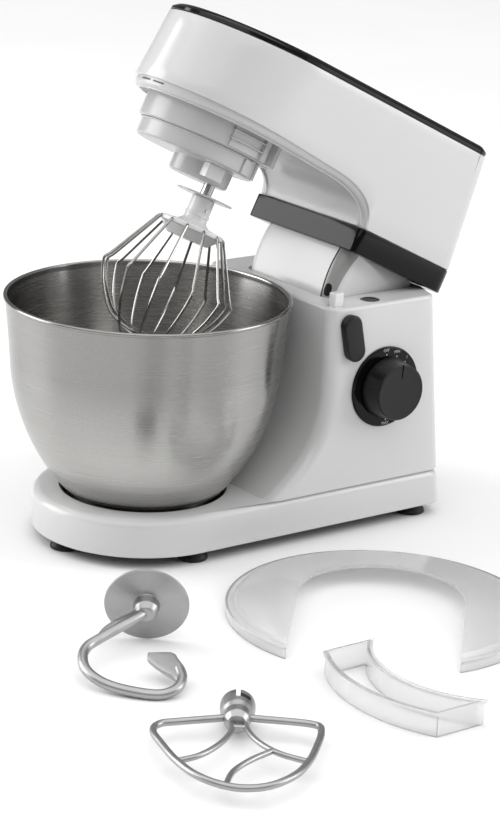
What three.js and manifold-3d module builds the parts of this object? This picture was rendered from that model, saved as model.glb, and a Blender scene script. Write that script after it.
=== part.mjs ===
// Tilt-head stand mixer with bowl, whisk, dough hook, flat beater, splash guard and pouring chute.
//
// Units are millimetres. +X runs from the bowl back to the column, +Z is up, and the speed knob is on
// the -Y side. While it is built, the model's zero is the bowl's axis on the table. The head is
// drawn closed and turned up about the hinge pin, and the finished group is moved so that
// the origin is the middle of its footprint on the table.

import * as THREE from 'three';
import { mergeVertices } from 'three/addons/utils/BufferGeometryUtils.js';
import Module from 'manifold-3d';

const wasm = await Module();
wasm.setup();

// ---- fits shared by every piece ----
const SEAT_GAP = 0.3; // between pieces that touch
const RUN_GAP = 0.5; // between pieces that slide or turn past each other
const BORE_GAP = 0.4; // round a shaft in its bore
const WALL = 3; // moulded plastic walls

// ---- base and column ----
const BASE_HALF_WIDTH = 86.8;
const BASE_UNDERSIDE = 9.7;
const BASE_TOP = 40;
const BASE_EDGE_RADIUS = 7;
const NOSE_CENTRE_X = -2; // the base nose is round about this point
const COLUMN_TOP = 189.5;
const COLUMN_FRONT_X = 115.5;
const COLUMN_REAR_TOP_X = 217;
const COLUMN_REAR_BOTTOM_X = 236;
const COLUMN_REAR_BULGE = 20; // how far the rear wall bows out at the middle
const COLUMN_CORNER_RADIUS = 11;
const COLUMN_TOP_EDGE = 2;
const FLARE_LENGTH = 53.5; // the column's foot runs out over the base by this much
const FLARE_HEIGHT = 90;
const FLARE_POWER = 2.65;
const BASE_PLATE_THICKNESS = 2.5;

const FOOT_RADIUS = 12.4;
const FOOT_WAIST_RADIUS = 10.5;
const FOOT_INSET = 17; // from the base's edge to a foot's middle
const FOOT_NOSE_X = NOSE_CENTRE_X - BASE_HALF_WIDTH + FOOT_INSET;
const FOOT_FRONT_X = 1;
const FOOT_REAR_X = COLUMN_REAR_BOTTOM_X - FOOT_INSET + 1;
const FOOT_SIDE_Y = BASE_HALF_WIDTH - FOOT_INSET;

// ---- hinge ----
const HINGE_X = 221.3;
const HINGE_Z = 172.2;
const RAISED_ANGLE = 26.3;
const PIN_RADIUS = 4;
const PIN_BOSS_RADIUS = 6.5;
const PIN_HALF_LENGTH = 42.5;
const ARM_INSIDE_Y = 26;
const ARM_THICKNESS = 6;
const BRACKET_THICKNESS = 7;
const BRACKET_BOTTOM = 128;
const SKIRT_RADIUS = 87.6;
const SKIRT_HALF_WIDTH = 57;
const SKIRT_CORNER_RADIUS = 12;
const SKIRT_WALL = 2.5;
const SKIRT_REAR_X = 210;
const SKIRT_BOTTOM_ANGLE = 21; // the skirt's lower edge, degrees below the hinge when closed

// ---- head ----
const BAND_HEIGHT = 19.7;
const BAND_FRONT_X = 127;
const BAND_CORNER_RADIUS = 5;
const HEAD_HALF_WIDTH = 70.7;
const HEAD_NOSE_LENGTH = 89; // the round nose, from its tip to the straight sides
const HEAD_NOSE_TIP_X = -69;
const HEAD_NOSE_LEAN = 0.115; // how far the nose leans back for each millimetre of height
const HEAD_REAR_X = 232.8; // at the band
const HEAD_REAR_LEAN = 0.122;
const HEAD_REAR_BULGE = 10;
const HEAD_REAR_CORNER_RADIUS = 14;
const CHIN_Z = 248; // the side's lower edge at the nose
const CHIN_REAR_Z = 240.5; // and where it starts to curve down to the band
const CHEEK_X = 90;
const HEAD_TOP_Z = 306;
const HEAD_TOP_NOSE_DROP = 1.5;
const COVER_THICKNESS = 6.3;
const LIP_INSET = 2;
const LIP_NOSE_DEPTH = 8.5;
const LIP_REAR_DEPTH = 5;
const UNDERSIDE_THICKNESS = 4;

// ---- planetary drive ----
const DRUM_RADIUS = 53;
const DRUM_BOTTOM = 221;
const CARRIER_RADIUS = 48.8;
const CARRIER_BOTTOM = 206.4;
const CARRIER_NECK_RADIUS = 10;
const BOSS_RADIUS = 24.4;
const BOSS_OFFSET = 9.1;
const BOSS_BOTTOM = 192;
const RING_TEETH = 48;
const PLANET_TEETH = 16;
const GEAR_MODULE = 1.25;
const GEAR_THICKNESS = 8;
const GEAR_BOTTOM = 224.5;
const GEAR_BACKLASH = 0.34; // taken off each side of a tooth
const TOOTH_ADDENDUM = 0.8; // in modules
const TOOTH_DEDENDUM = 1.15;
const TOOL_ANGLE = -38; // where the tool stands round the drum
const TOOL_SHAFT_RADIUS = 4.6;
const CARRIER_SHAFT_RADIUS = 6;
const BEARING_RADIUS = 13;
const PULLEY_BOTTOM = 285;
const PULLEY_HEIGHT = 10;
const PULLEY_RADIUS = 46;
const MOTOR_PULLEY_RADIUS = 9.2;
const PULLEY_FLANGE = 1.6;
const BELT_THICKNESS = 2;
const MOTOR_X = 166;
const MOTOR_HALF_WIDTH = 33;
const MOTOR_HEIGHT = 52;
const ROTOR_RADIUS = 21;
const MOTOR_SHAFT_RADIUS = 4;
const FAN_RADIUS = 29;
const FAN_BLADES = 9;
const MOTOR_FLOOR = 3.5;

// ---- whisk ----
const DISC_RADIUS = 22.9;
const DISC_Z = 181.5;
const DISC_THICKNESS = 1.2;
const SLEEVE_RADIUS = 9.4;
const SLEEVE_TOP = 181.2;
const FLANGE_RADIUS = 26.8;
const FLANGE_TOP = 158.6;
const FLANGE_THICKNESS = 4.2;
const HUB_CONE_RADIUS = 17;
const HUB_BOTTOM = 146.5;
const WIRE_RADIUS = 1.1;
const WIRE_LOOPS = 6;
const WIRE_START_RADIUS = 22.6;
const KNEE_RADIUS = 53.5;
const KNEE_Z = 110;
const KNEE_BEND = 5;
const WHISK_BOTTOM = 53;
const LOOP_PITCH = 2.7; // the loops nest this far apart where they cross
const CROSS_PIN_RADIUS = 1.4;
const CROSS_PIN_Z = 172;

// ---- bowl ----
const BOWL_RIM_RADIUS = 111.6;
const BOWL_RIM_Z = 192.8;
const BOWL_BEAD_RADIUS = 1.7;
const BOWL_WALL = 1.2;
const BOWL_FOOT_RADIUS = 64.5;
const BOWL_FOOT_Z = 41.2;
const BOWL_SIDE_RADIUS = 106.8;
const BOWL_SIDE_Z = 140;
const FOOT_RING_RADIUS = 59.5;
const FOOT_RING_BOTTOM = 31.5;
const LUG_REACH = 4;
const LUG_HEIGHT = 2.6;
const LUG_COUNT = 3;
const LUG_SPAN = 34; // degrees
const SEAT_WALL = 4;
const SEAT_RADIUS = FOOT_RING_RADIUS + LUG_REACH + RUN_GAP + SEAT_WALL;
const SEAT_FLOOR = 28;

// ---- controls on the column's -Y side ----
const KNOB_X = 171;
const KNOB_Z = 120;
const KNOB_PLATE_RADIUS = 33;
const KNOB_PLATE_THICKNESS = 2.4;
const KNOB_RADIUS = 26.5;
const KNOB_HEIGHT = 19;
const KNOB_SHAFT_RADIUS = 4;
const SWITCH_HALF_WIDTH = 14;
const SWITCH_DEPTH = 16;
const BOARD_HALF_WIDTH = 30;
const BOARD_THICKNESS = 1.6;
const KNOB_ANGLE = 49; // where the pointer stands, from straight up towards the rear
const LEVER_X = 140.2;
const LEVER_Z = 154.6;
const LEVER_LENGTH = 21.6; // between the centres of its round ends
const LEVER_LEAN = 15; // degrees, top forwards
const LEVER_RADIUS = 8.7;
const LEVER_THICKNESS = 9;
const LEVER_SHAFT_RADIUS = 3.5;
const LATCH_X = 128;
const LATCH_INSET = 9.8; // from the base's side to the latch's middle
const LATCH_Y = LATCH_INSET - BASE_HALF_WIDTH;
const LATCH_LENGTH = 11.6;
const LATCH_WIDTH = 9.6;
const LATCH_TOP = 201.3;
const LATCH_BOTTOM = 172;
const PLUG_X = 163;
const PLUG_Y = LATCH_Y + 4.4;
const PLUG_RADIUS = 8;
const INLET_Z = 30;
const INLET_RADIUS = 6;

// ---- loose tools and guard, on the table ----
const TOOL_TURN = -127; // the way the loose tools point, degrees
const HOOK_PLACE = [-112, -176];
const BEATER_PLACE = [-148, -338];
const GUARD_PLACE = [55, -238];
const GUARD_OPENING_ANGLE = 228;
const CHUTE_PLACE = [-50, -366];
const CHUTE_TURN = 180;

const RAD = Math.PI / 180;

// ---------------------------------------------------------------- shape helpers

// A closed geometry as a solid that can be joined and cut.
function solid(geometry) {
  const bare = geometry.clone();
  bare.deleteAttribute('normal');
  bare.deleteAttribute('uv');
  const merged = mergeVertices(bare, 1e-4);
  const corners = merged.index.array;
  const kept = [];
  for (let i = 0; i < corners.length; i += 3) {
    const [a, b, c] = [corners[i], corners[i + 1], corners[i + 2]];
    if (a !== b && b !== c && c !== a) kept.push(a, b, c);
  }
  const mesh = new wasm.Mesh({
    numProp: 3,
    vertProperties: new Float32Array(merged.attributes.position.array),
    triVerts: new Uint32Array(kept),
  });
  return new wasm.Manifold(mesh);
}

// A solid back as a three.js geometry.
function geometryOf(manifold) {
  const mesh = manifold.getMesh();
  const geometry = new THREE.BufferGeometry();
  geometry.setAttribute('position', new THREE.BufferAttribute(mesh.vertProperties, 3));
  geometry.setIndex(new THREE.BufferAttribute(mesh.triVerts, 1));
  geometry.computeVertexNormals();
  return geometry;
}

function named(name, manifold, finish) {
  const mesh = new THREE.Mesh(geometryOf(manifold), new THREE.MeshStandardMaterial(finish));
  mesh.name = name;
  return mesh;
}

function box(x0, x1, y0, y1, z0, z1) {
  const geometry = new THREE.BoxGeometry(x1 - x0, y1 - y0, z1 - z0);
  return solid(geometry.translate((x0 + x1) / 2, (y0 + y1) / 2, (z0 + z1) / 2));
}

// An outline in X and Y carried up from z0 to z1.
function upright(shape, z0, z1, curveSegments = 8) {
  const geometry = new THREE.ExtrudeGeometry(shape, {
    depth: z1 - z0,
    bevelEnabled: false,
    curveSegments,
  });
  return solid(geometry.translate(0, 0, z0));
}

// An outline in X and Z carried across from y0 to y1, with round edges where bevel is given.
function across(shape, y0, y1, { bevel = 0, curveSegments = 8, bevelSegments = 3 } = {}) {
  const geometry = new THREE.ExtrudeGeometry(shape, {
    depth: y1 - y0 - 2 * bevel,
    bevelEnabled: bevel > 0,
    bevelThickness: bevel,
    bevelSize: bevel,
    bevelOffset: -bevel,
    bevelSegments,
    curveSegments,
  });
  return solid(geometry.rotateX(Math.PI / 2).translate(0, y1 - bevel, 0));
}

// A profile of [radius, z] pairs turned about the Z axis.
function turned(profile, segments = 32) {
  const points = profile.map(([radius, z]) => new THREE.Vector2(radius, z));
  const made = solid(new THREE.LatheGeometry(points, segments).rotateX(Math.PI / 2));
  return made;
}

function cylinder(radius, z0, z1, segments = 24) {
  const geometry = new THREE.CylinderGeometry(radius, radius, z1 - z0, segments);
  return solid(geometry.rotateX(Math.PI / 2).translate(0, 0, (z0 + z1) / 2));
}

// A cylinder along Y, about the point x, z.
function crossCylinder(radius, x, z, y0, y1, segments = 24) {
  const geometry = new THREE.CylinderGeometry(radius, radius, y1 - y0, segments);
  return solid(geometry.translate(x, (y0 + y1) / 2, z));
}

function at(manifold, x, y, z = 0) {
  return manifold.translate([x, y, z]);
}

function ring(outer, inner, z0, z1, segments = 32) {
  return turned([[inner, z0], [outer, z0], [outer, z1], [inner, z1], [inner, z0]], segments);
}

// A section outline carried along a curve.
function swept(curve, shape, steps, curveSegments = 6) {
  return solid(new THREE.ExtrudeGeometry(shape, { extrudePath: curve, steps, curveSegments }));
}

function circle(radius) {
  return new THREE.Shape().absarc(0, 0, radius, 0, 2 * Math.PI);
}

// Outlines with the same number of points, one above the other, joined into one closed form.
function lofted(levels) {
  const count = levels[0].outline.length;
  const positions = [];
  for (const { z, outline } of levels) {
    for (const point of outline) positions.push(point.x, point.y, z);
  }
  const index = [];
  for (let level = 0; level + 1 < levels.length; level += 1) {
    for (let i = 0; i < count; i += 1) {
      const a = level * count + i;
      const b = level * count + ((i + 1) % count);
      index.push(a, b, b + count, a, b + count, a + count);
    }
  }
  const top = (levels.length - 1) * count;
  const caps = THREE.ShapeUtils.triangulateShape(levels[0].outline, []);
  for (const [a, b, c] of caps) {
    index.push(c, b, a, top + a, top + b, top + c);
  }
  const geometry = new THREE.BufferGeometry();
  geometry.setAttribute('position', new THREE.Float32BufferAttribute(positions, 3));
  geometry.setIndex(index);
  return solid(geometry);
}

// A plan outline, anticlockwise from the front: an elliptical front of length frontLength,
// straight sides, round rear corners and a bowed rear wall.
function planOutline({ front, rear, halfWidth, frontLength, frontRadius, rearRadius, bulge, arc = 3 }) {
  const points = [];
  const quarter = (cx, cy, rx, ry, from, steps) => {
    for (let i = 0; i <= steps; i += 1) {
      const angle = (from + (90 * i) / steps) * RAD;
      points.push(new THREE.Vector2(cx + rx * Math.cos(angle), cy + ry * Math.sin(angle)));
    }
  };
  const rx = frontLength ?? frontRadius;
  const ry = frontLength ? halfWidth : frontRadius;
  const bowAt = (y) => rear + bulge * (1 - (y / halfWidth) ** 2);
  const flat = halfWidth - rearRadius;
  quarter(bowAt(flat) - rearRadius, -flat, rearRadius, rearRadius, 270, arc);
  for (let i = 1; i < 4; i += 1) {
    const y = -flat + (flat * i) / 2;
    points.push(new THREE.Vector2(bowAt(y), y));
  }
  quarter(bowAt(flat) - rearRadius, flat, rearRadius, rearRadius, 0, arc);
  quarter(front + rx, halfWidth - ry, rx, ry, 90, frontLength ? 9 : arc);
  quarter(front + rx, -(halfWidth - ry), rx, ry, 180, frontLength ? 9 : arc);
  const close = (a, b) => a.distanceTo(b) < 1e-3;
  return points.filter((point, i) => !close(point, points[(i + 1) % points.length]));
}

// ---------------------------------------------------------------- finishes

const WHITE = { color: '#e6e6e4', roughness: 0.25, metalness: 0 };
const WHITE_SATIN = { color: '#d9d9d7', roughness: 0.45, metalness: 0 };
const BLACK = { color: '#141414', roughness: 0.12, metalness: 0 };
const BLACK_SATIN = { color: '#232323', roughness: 0.4, metalness: 0 };
const RUBBER = { color: '#1b1b1c', roughness: 0.7, metalness: 0 };
const STEEL = { color: '#b9b6b2', roughness: 0.3, metalness: 1 };
const WIRE_STEEL = { color: '#c4c2bf', roughness: 0.15, metalness: 1 };
const CAST = { color: '#a5a5a6', roughness: 0.45, metalness: 0.9 };
const CLEAR = { color: '#e8eced', roughness: 0.08, metalness: 0, transparent: true, opacity: 0.4 };
const NYLON = { color: '#cfcabb', roughness: 0.5, metalness: 0 };
const COPPER = { color: '#8a5a3a', roughness: 0.5, metalness: 0.6 };

// ---------------------------------------------------------------- base and column

const noseFront = NOSE_CENTRE_X - BASE_HALF_WIDTH;

function columnRearX(z) {
  const share = (COLUMN_TOP - z) / (COLUMN_TOP - BASE_UNDERSIDE);
  return COLUMN_REAR_TOP_X + (COLUMN_REAR_BOTTOM_X - COLUMN_REAR_TOP_X) * share;
}

function columnFrontX(z) {
  const share = Math.min(1, Math.max(0, (z - BASE_TOP) / FLARE_HEIGHT));
  return COLUMN_FRONT_X - FLARE_LENGTH * (1 - share) ** FLARE_POWER;
}

function columnOutline(z, inset) {
  return planOutline({
    front: columnFrontX(z) + inset,
    rear: columnRearX(z) - inset,
    halfWidth: BASE_HALF_WIDTH - inset,
    frontRadius: COLUMN_CORNER_RADIUS - Math.min(inset, COLUMN_CORNER_RADIUS - 2),
    rearRadius: COLUMN_CORNER_RADIUS,
    bulge: COLUMN_REAR_BULGE,
  });
}

function baseOutline(z, inset) {
  return planOutline({
    front: noseFront + inset,
    rear: columnRearX(z) - inset,
    halfWidth: BASE_HALF_WIDTH - inset,
    frontLength: BASE_HALF_WIDTH - inset,
    rearRadius: COLUMN_CORNER_RADIUS,
    bulge: COLUMN_REAR_BULGE,
  });
}

function columnForm(inset, bottom, top, edge) {
  const flareSteps = [0, 0.1, 0.22, 0.38, 0.6, 1];
  const levels = [{ z: bottom, outline: columnOutline(BASE_TOP, inset) }];
  for (const step of flareSteps) {
    const z = BASE_TOP + FLARE_HEIGHT * step;
    levels.push({ z, outline: columnOutline(z, inset) });
  }
  levels.push({ z: top - edge, outline: columnOutline(top - edge, inset) });
  if (edge > 0) levels.push({ z: top, outline: columnOutline(top, inset + edge) });
  return lofted(levels);
}

function baseForm(inset, bottom, top, edge) {
  const levels = [{ z: bottom, outline: baseOutline(bottom, inset) }];
  const steps = 3;
  for (let i = 0; i <= steps && edge > 0; i += 1) {
    const angle = (90 * i * RAD) / steps;
    const z = top - edge + edge * Math.sin(angle);
    levels.push({ z, outline: baseOutline(z, inset + edge * (1 - Math.cos(angle))) });
  }
  if (edge === 0) levels.push({ z: top, outline: baseOutline(top, inset) });
  return lofted(levels);
}

// What the raised head's heel needs: all above a plane that leans back at the raised angle.
function heelRoom() {
  const lean = RAISED_ANGLE * RAD;
  const height = COLUMN_TOP + RUN_GAP - HINGE_Z;
  const shape = new THREE.Shape([
    new THREE.Vector2(-60, height - RUN_GAP),
    new THREE.Vector2(60, height - RUN_GAP),
    new THREE.Vector2(60, height + 60),
    new THREE.Vector2(-60, height + 60),
  ]);
  const room = across(shape, -2 * BASE_HALF_WIDTH, 2 * BASE_HALF_WIDTH);
  return room.rotate([0, lean / RAD, 0]).translate([HINGE_X, 0, HINGE_Z]);
}

function skirtOpening() {
  const half = SKIRT_HALF_WIDTH + 2 * RUN_GAP;
  const front = HINGE_X - SKIRT_RADIUS - 2 * RUN_GAP;
  const outline = planOutline({
    front,
    rear: HINGE_X + PIN_RADIUS - 1,
    halfWidth: half,
    frontRadius: SKIRT_CORNER_RADIUS,
    rearRadius: 3,
    bulge: 0,
  });
  return upright(new THREE.Shape(outline), COLUMN_TOP - 3 * WALL, COLUMN_TOP + WALL);
}

function latchHole() {
  const x = LATCH_LENGTH / 2 + RUN_GAP;
  const y = LATCH_WIDTH / 2 + RUN_GAP;
  return box(LATCH_X - x, LATCH_X + x, LATCH_Y - y, LATCH_Y + y, COLUMN_TOP - 3 * WALL, COLUMN_TOP + WALL);
}

function footPlaces() {
  return [
    ['foot_nose', FOOT_NOSE_X, 0],
    ['foot_front_right', FOOT_FRONT_X, -FOOT_SIDE_Y],
    ['foot_front_left', FOOT_FRONT_X, FOOT_SIDE_Y],
    ['foot_rear_right', FOOT_REAR_X, -FOOT_SIDE_Y],
    ['foot_rear_left', FOOT_REAR_X, FOOT_SIDE_Y],
  ];
}

// Screw posts that carry the bottom plate and the feet. The rear ones are ribbed to the side walls.
function footPosts(bottom) {
  const top = BASE_TOP - WALL + 1;
  const posts = [];
  for (const [, x, y] of footPlaces()) {
    posts.push(at(cylinder(FOOT_WAIST_RADIUS - 2, bottom, top, 12), x, y));
    const wall = Math.sign(y) * (BASE_HALF_WIDTH - WALL / 2);
    if (x > COLUMN_FRONT_X) posts.push(box(x - 1.5, x + 1.5, Math.min(y, wall), Math.max(y, wall), bottom, top));
  }
  return posts;
}

function baseHousing() {
  const plateTop = BASE_UNDERSIDE + BASE_PLATE_THICKNESS + SEAT_GAP;
  let form = baseForm(0, BASE_UNDERSIDE, BASE_TOP, BASE_EDGE_RADIUS);
  form = form.add(columnForm(0, BASE_UNDERSIDE + 15, COLUMN_TOP, COLUMN_TOP_EDGE));
  let hollow = baseForm(WALL, BASE_UNDERSIDE - WALL, BASE_TOP - WALL, 0);
  hollow = hollow.add(columnForm(WALL, BASE_UNDERSIDE + 15, COLUMN_TOP - WALL, 0));
  hollow = hollow.subtract(cylinder(SEAT_RADIUS + 2 * WALL, SEAT_FLOOR - WALL, BASE_TOP, 40));
  form = footPosts(plateTop).reduce((whole, post) => whole.add(post), form.subtract(hollow));
  form = form.subtract(cylinder(SEAT_RADIUS + SEAT_GAP, SEAT_FLOOR, BASE_TOP + WALL, 40));
  form = form.subtract(heelRoom()).subtract(skirtOpening()).subtract(latchHole());
  const side = -BASE_HALF_WIDTH;
  for (const [radius, x, z] of [
    [KNOB_SHAFT_RADIUS, KNOB_X, KNOB_Z],
    [LEVER_SHAFT_RADIUS, LEVER_X, LEVER_Z],
  ]) {
    form = form.subtract(crossCylinder(radius + BORE_GAP, x, z, side - WALL, side + 2 * WALL, 16));
  }
  form = form.subtract(at(cylinder(PLUG_RADIUS, COLUMN_TOP - 1.6, COLUMN_TOP + 1), PLUG_X, PLUG_Y));
  const rear = columnRearX(INLET_Z) + COLUMN_REAR_BULGE;
  const inlet = cylinder(INLET_RADIUS + 2 * SEAT_GAP, -3 * WALL, 2 * WALL, 20).rotate([0, 90, 0]);
  return form.subtract(at(inlet, rear, 0, INLET_Z));
}

function basePlate() {
  const plate = lofted([BASE_UNDERSIDE, BASE_UNDERSIDE + BASE_PLATE_THICKNESS].map((z) => ({
    z,
    outline: baseOutline(z, WALL + SEAT_GAP),
  })));
  return footPlaces().reduce(
    (left, [, x, y]) => left.subtract(at(cylinder(FOOT_RADIUS + SEAT_GAP, 0, 2 * BASE_UNDERSIDE, 24), x, y)),
    plate,
  );
}

function foot() {
  const top = BASE_UNDERSIDE + BASE_PLATE_THICKNESS;
  return turned([
    [0, 2],
    [FOOT_RADIUS - 4, 1.2],
    [FOOT_RADIUS - 1.5, 0],
    [FOOT_RADIUS, 0.8],
    [FOOT_RADIUS - 0.6, 3],
    [FOOT_WAIST_RADIUS, 5],
    [FOOT_WAIST_RADIUS, BASE_UNDERSIDE - 1.5],
    [FOOT_RADIUS, BASE_UNDERSIDE],
    [FOOT_RADIUS, top],
    [0, top],
  ], 12);
}

function shelfPlug() {
  return at(cylinder(PLUG_RADIUS - SEAT_GAP, COLUMN_TOP - 1.3, COLUMN_TOP - 0.3), PLUG_X, PLUG_Y);
}

function cordInlet() {
  const rear = columnRearX(INLET_Z) + COLUMN_REAR_BULGE;
  const collar = turned([
    [3.4, -WALL - 2],
    [INLET_RADIUS, -WALL - 2],
    [INLET_RADIUS, 2 * SEAT_GAP],
    [INLET_RADIUS + 2, 2 * SEAT_GAP],
    [INLET_RADIUS + 1.4, 2.4],
    [4.4, 2.8],
    [3.4, 1.4],
    [3.4, -WALL - 2],
  ], 20);
  const lean = Math.atan2(COLUMN_REAR_BOTTOM_X - COLUMN_REAR_TOP_X, COLUMN_TOP - BASE_UNDERSIDE) / RAD;
  return at(collar.rotate([0, 90 - lean, 0]), rear, 0, INLET_Z);
}

// ---------------------------------------------------------------- bowl and its seat

// A ring segment from angle - span / 2 to angle + span / 2.
function lug(inner, outer, z0, z1, angle, span) {
  const shape = new THREE.Shape();
  const from = (angle - span / 2) * RAD;
  const to = (angle + span / 2) * RAD;
  shape.absarc(0, 0, outer, from, to);
  shape.absarc(0, 0, inner, to, from, true);
  return upright(shape, z0, z1, 3);
}

function lugRing(body, inner, outer, z0, z1, turn) {
  let form = body;
  for (let i = 0; i < LUG_COUNT; i += 1) {
    form = form.add(lug(inner, outer, z0, z1, turn + (360 * i) / LUG_COUNT, LUG_SPAN));
  }
  return form;
}

function bowlSeat() {
  const bore = FOOT_RING_RADIUS + LUG_REACH + RUN_GAP;
  const lugBottom = FOOT_RING_BOTTOM + LUG_HEIGHT + RUN_GAP;
  const body = ring(SEAT_RADIUS, bore, SEAT_FLOOR + SEAT_GAP, BOWL_FOOT_Z - 1, 32);
  return lugRing(body, bore - LUG_REACH + 0.6, bore + 1, lugBottom, lugBottom + LUG_HEIGHT, 0);
}

function bowlFoot() {
  const top = BOWL_FOOT_Z - SEAT_GAP;
  const body = ring(FOOT_RING_RADIUS, FOOT_RING_RADIUS - 3, FOOT_RING_BOTTOM, top, 32);
  const reach = FOOT_RING_RADIUS + LUG_REACH;
  return lugRing(body, FOOT_RING_RADIUS - 1, reach, FOOT_RING_BOTTOM, FOOT_RING_BOTTOM + LUG_HEIGHT, 0);
}

// The bowl's side as a curve of radius and height: a round lower half, then a slight flare.
function bowlSide(offset) {
  const lower = new THREE.CubicBezierCurve(
    new THREE.Vector2(BOWL_FOOT_RADIUS - offset, BOWL_FOOT_Z + offset),
    new THREE.Vector2(BOWL_FOOT_RADIUS + 19.5 - offset, BOWL_FOOT_Z + 21.5 + offset),
    new THREE.Vector2(BOWL_SIDE_RADIUS - 2.8 - offset, BOWL_SIDE_Z - 42),
    new THREE.Vector2(BOWL_SIDE_RADIUS - offset, BOWL_SIDE_Z),
  );
  const flareFoot = new THREE.Vector2(BOWL_SIDE_RADIUS - offset, BOWL_SIDE_Z);
  const flareBend = new THREE.Vector2(BOWL_SIDE_RADIUS + 1.8 - offset, BOWL_SIDE_Z + 28);
  const rim = new THREE.Vector2(BOWL_RIM_RADIUS - offset, BOWL_RIM_Z);
  const upper = new THREE.QuadraticBezierCurve(flareFoot, flareBend, rim);
  return [...lower.getPoints(6), ...upper.getPoints(2).slice(1)].map(({ x, y }) => [x, y]);
}

function bowlShell() {
  const outside = bowlSide(0);
  const inside = bowlSide(BOWL_WALL).reverse();
  const bead = [];
  for (let i = 0; i <= 4; i += 1) {
    const angle = (-80 + 65 * i) * RAD;
    bead.push([
      BOWL_RIM_RADIUS + BOWL_BEAD_RADIUS * Math.cos(angle) - 0.3,
      BOWL_RIM_Z + BOWL_BEAD_RADIUS * (1 + Math.sin(angle)) - 0.2,
    ]);
  }
  const floor = BOWL_FOOT_Z;
  return turned([[0, floor], ...outside, ...bead, ...inside.slice(1), [0, floor + BOWL_WALL]], 36);
}

// ---------------------------------------------------------------- hinge

function hingePin() {
  return crossCylinder(PIN_RADIUS, HINGE_X, HINGE_Z, -PIN_HALF_LENGTH, PIN_HALF_LENGTH, 20);
}

// A bracket inside the column that carries one end of the pin, on the side given by sign.
function hingeBracket(sign) {
  const near = ARM_INSIDE_Y + ARM_THICKNESS + RUN_GAP;
  const far = near + BRACKET_THICKNESS;
  const wallAt = (z) => columnRearX(z) + COLUMN_REAR_BULGE * (1 - (far / BASE_HALF_WIDTH) ** 2) - WALL;
  const shape = new THREE.Shape();
  const rearTop = wallAt(HINGE_Z) - 2.5 * SEAT_GAP;
  shape.moveTo(rearTop, HINGE_Z - PIN_BOSS_RADIUS);
  shape.lineTo(wallAt(BRACKET_BOTTOM) - 2.5 * SEAT_GAP, BRACKET_BOTTOM);
  shape.lineTo(wallAt(BRACKET_BOTTOM) - 18, BRACKET_BOTTOM);
  shape.lineTo(HINGE_X - PIN_BOSS_RADIUS - 2, HINGE_Z - PIN_BOSS_RADIUS);
  shape.lineTo(HINGE_X - PIN_BOSS_RADIUS, HINGE_Z);
  shape.absarc(HINGE_X, HINGE_Z, PIN_BOSS_RADIUS, Math.PI, 0, true);
  shape.lineTo(rearTop, HINGE_Z - 1);
  const [y0, y1] = sign > 0 ? [near, far] : [-far, -near];
  const plate = across(shape, y0, y1);
  return plate.subtract(crossCylinder(PIN_RADIUS + 0.15, HINGE_X, HINGE_Z, y0 - 1, y1 + 1, 20));
}

// The head's floor over the column, with the two arms that hang on the pin.
function hingeFrame() {
  const bottom = COLUMN_TOP + RUN_GAP + WALL;
  const inset = WALL + SEAT_GAP;
  const outline = bandOutline(inset);
  let frame = upright(new THREE.Shape(outline), bottom, bottom + MOTOR_FLOOR);
  for (const y0 of [ARM_INSIDE_Y, -ARM_INSIDE_Y - ARM_THICKNESS]) {
    const shape = new THREE.Shape();
    shape.moveTo(HINGE_X - 60, bottom + 1);
    shape.lineTo(HINGE_X - PIN_BOSS_RADIUS * 1.6, HINGE_Z - PIN_BOSS_RADIUS * 0.7);
    shape.absarc(HINGE_X, HINGE_Z, PIN_BOSS_RADIUS, -0.7 * Math.PI, 0.5 * Math.PI);
    shape.lineTo(HINGE_X - 7, bottom - 4);
    shape.lineTo(HINGE_X - 9, bottom + 1);
    const arm = across(shape, y0, y0 + ARM_THICKNESS);
    const bore = crossCylinder(PIN_RADIUS + BORE_GAP, HINGE_X, HINGE_Z, y0 - 1, y0 + ARM_THICKNESS + 1, 20);
    frame = frame.add(arm.subtract(bore));
  }
  return frame;
}

// The skirt's side view: from under the head down to the line at SKIRT_BOTTOM_ANGLE.
function skirtView(top) {
  const reach = SKIRT_RADIUS + 10;
  const low = SKIRT_BOTTOM_ANGLE * RAD;
  return new THREE.Shape([
    new THREE.Vector2(SKIRT_REAR_X, top),
    new THREE.Vector2(HINGE_X - reach, top),
    new THREE.Vector2(HINGE_X - reach, HINGE_Z - reach * Math.tan(low)),
    new THREE.Vector2(HINGE_X - 24, HINGE_Z - 9),
    new THREE.Vector2(SKIRT_REAR_X, HINGE_Z + 6),
  ]);
}

// A drum about the hinge with round edges, smaller all round by inset.
function skirtDrum(inset) {
  const radius = SKIRT_RADIUS - inset;
  const half = SKIRT_HALF_WIDTH - inset;
  const corner = SKIRT_CORNER_RADIUS - inset;
  const profile = [[0, -half]];
  const steps = 5;
  for (const end of [-1, 1]) {
    for (let i = 0; i <= steps; i += 1) {
      const angle = ((end < 0 ? -90 : 0) + (90 * i) / steps) * RAD;
      profile.push([
        radius - corner + corner * Math.cos(angle),
        end * (half - corner) + corner * Math.sin(angle),
      ]);
    }
  }
  profile.push([0, half]);
  return turned(profile, 72).rotate([90, 0, 0]).translate([HINGE_X, 0, HINGE_Z]);
}

function hingeSkirt() {
  const top = COLUMN_TOP + RUN_GAP + WALL - SEAT_GAP;
  const keep = across(skirtView(top), -SKIRT_HALF_WIDTH - 1, SKIRT_HALF_WIDTH + 1);
  return skirtDrum(0).subtract(skirtDrum(SKIRT_WALL)).intersect(keep);
}

// ---------------------------------------------------------------- head shells

function bandOutline(inset) {
  return planOutline({
    front: BAND_FRONT_X + inset,
    rear: HEAD_REAR_X - inset,
    halfWidth: HEAD_HALF_WIDTH - inset,
    frontRadius: BAND_CORNER_RADIUS - Math.min(inset, BAND_CORNER_RADIUS - 1),
    rearRadius: HEAD_REAR_CORNER_RADIUS,
    bulge: HEAD_REAR_BULGE,
    arc: 3,
  });
}

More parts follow.
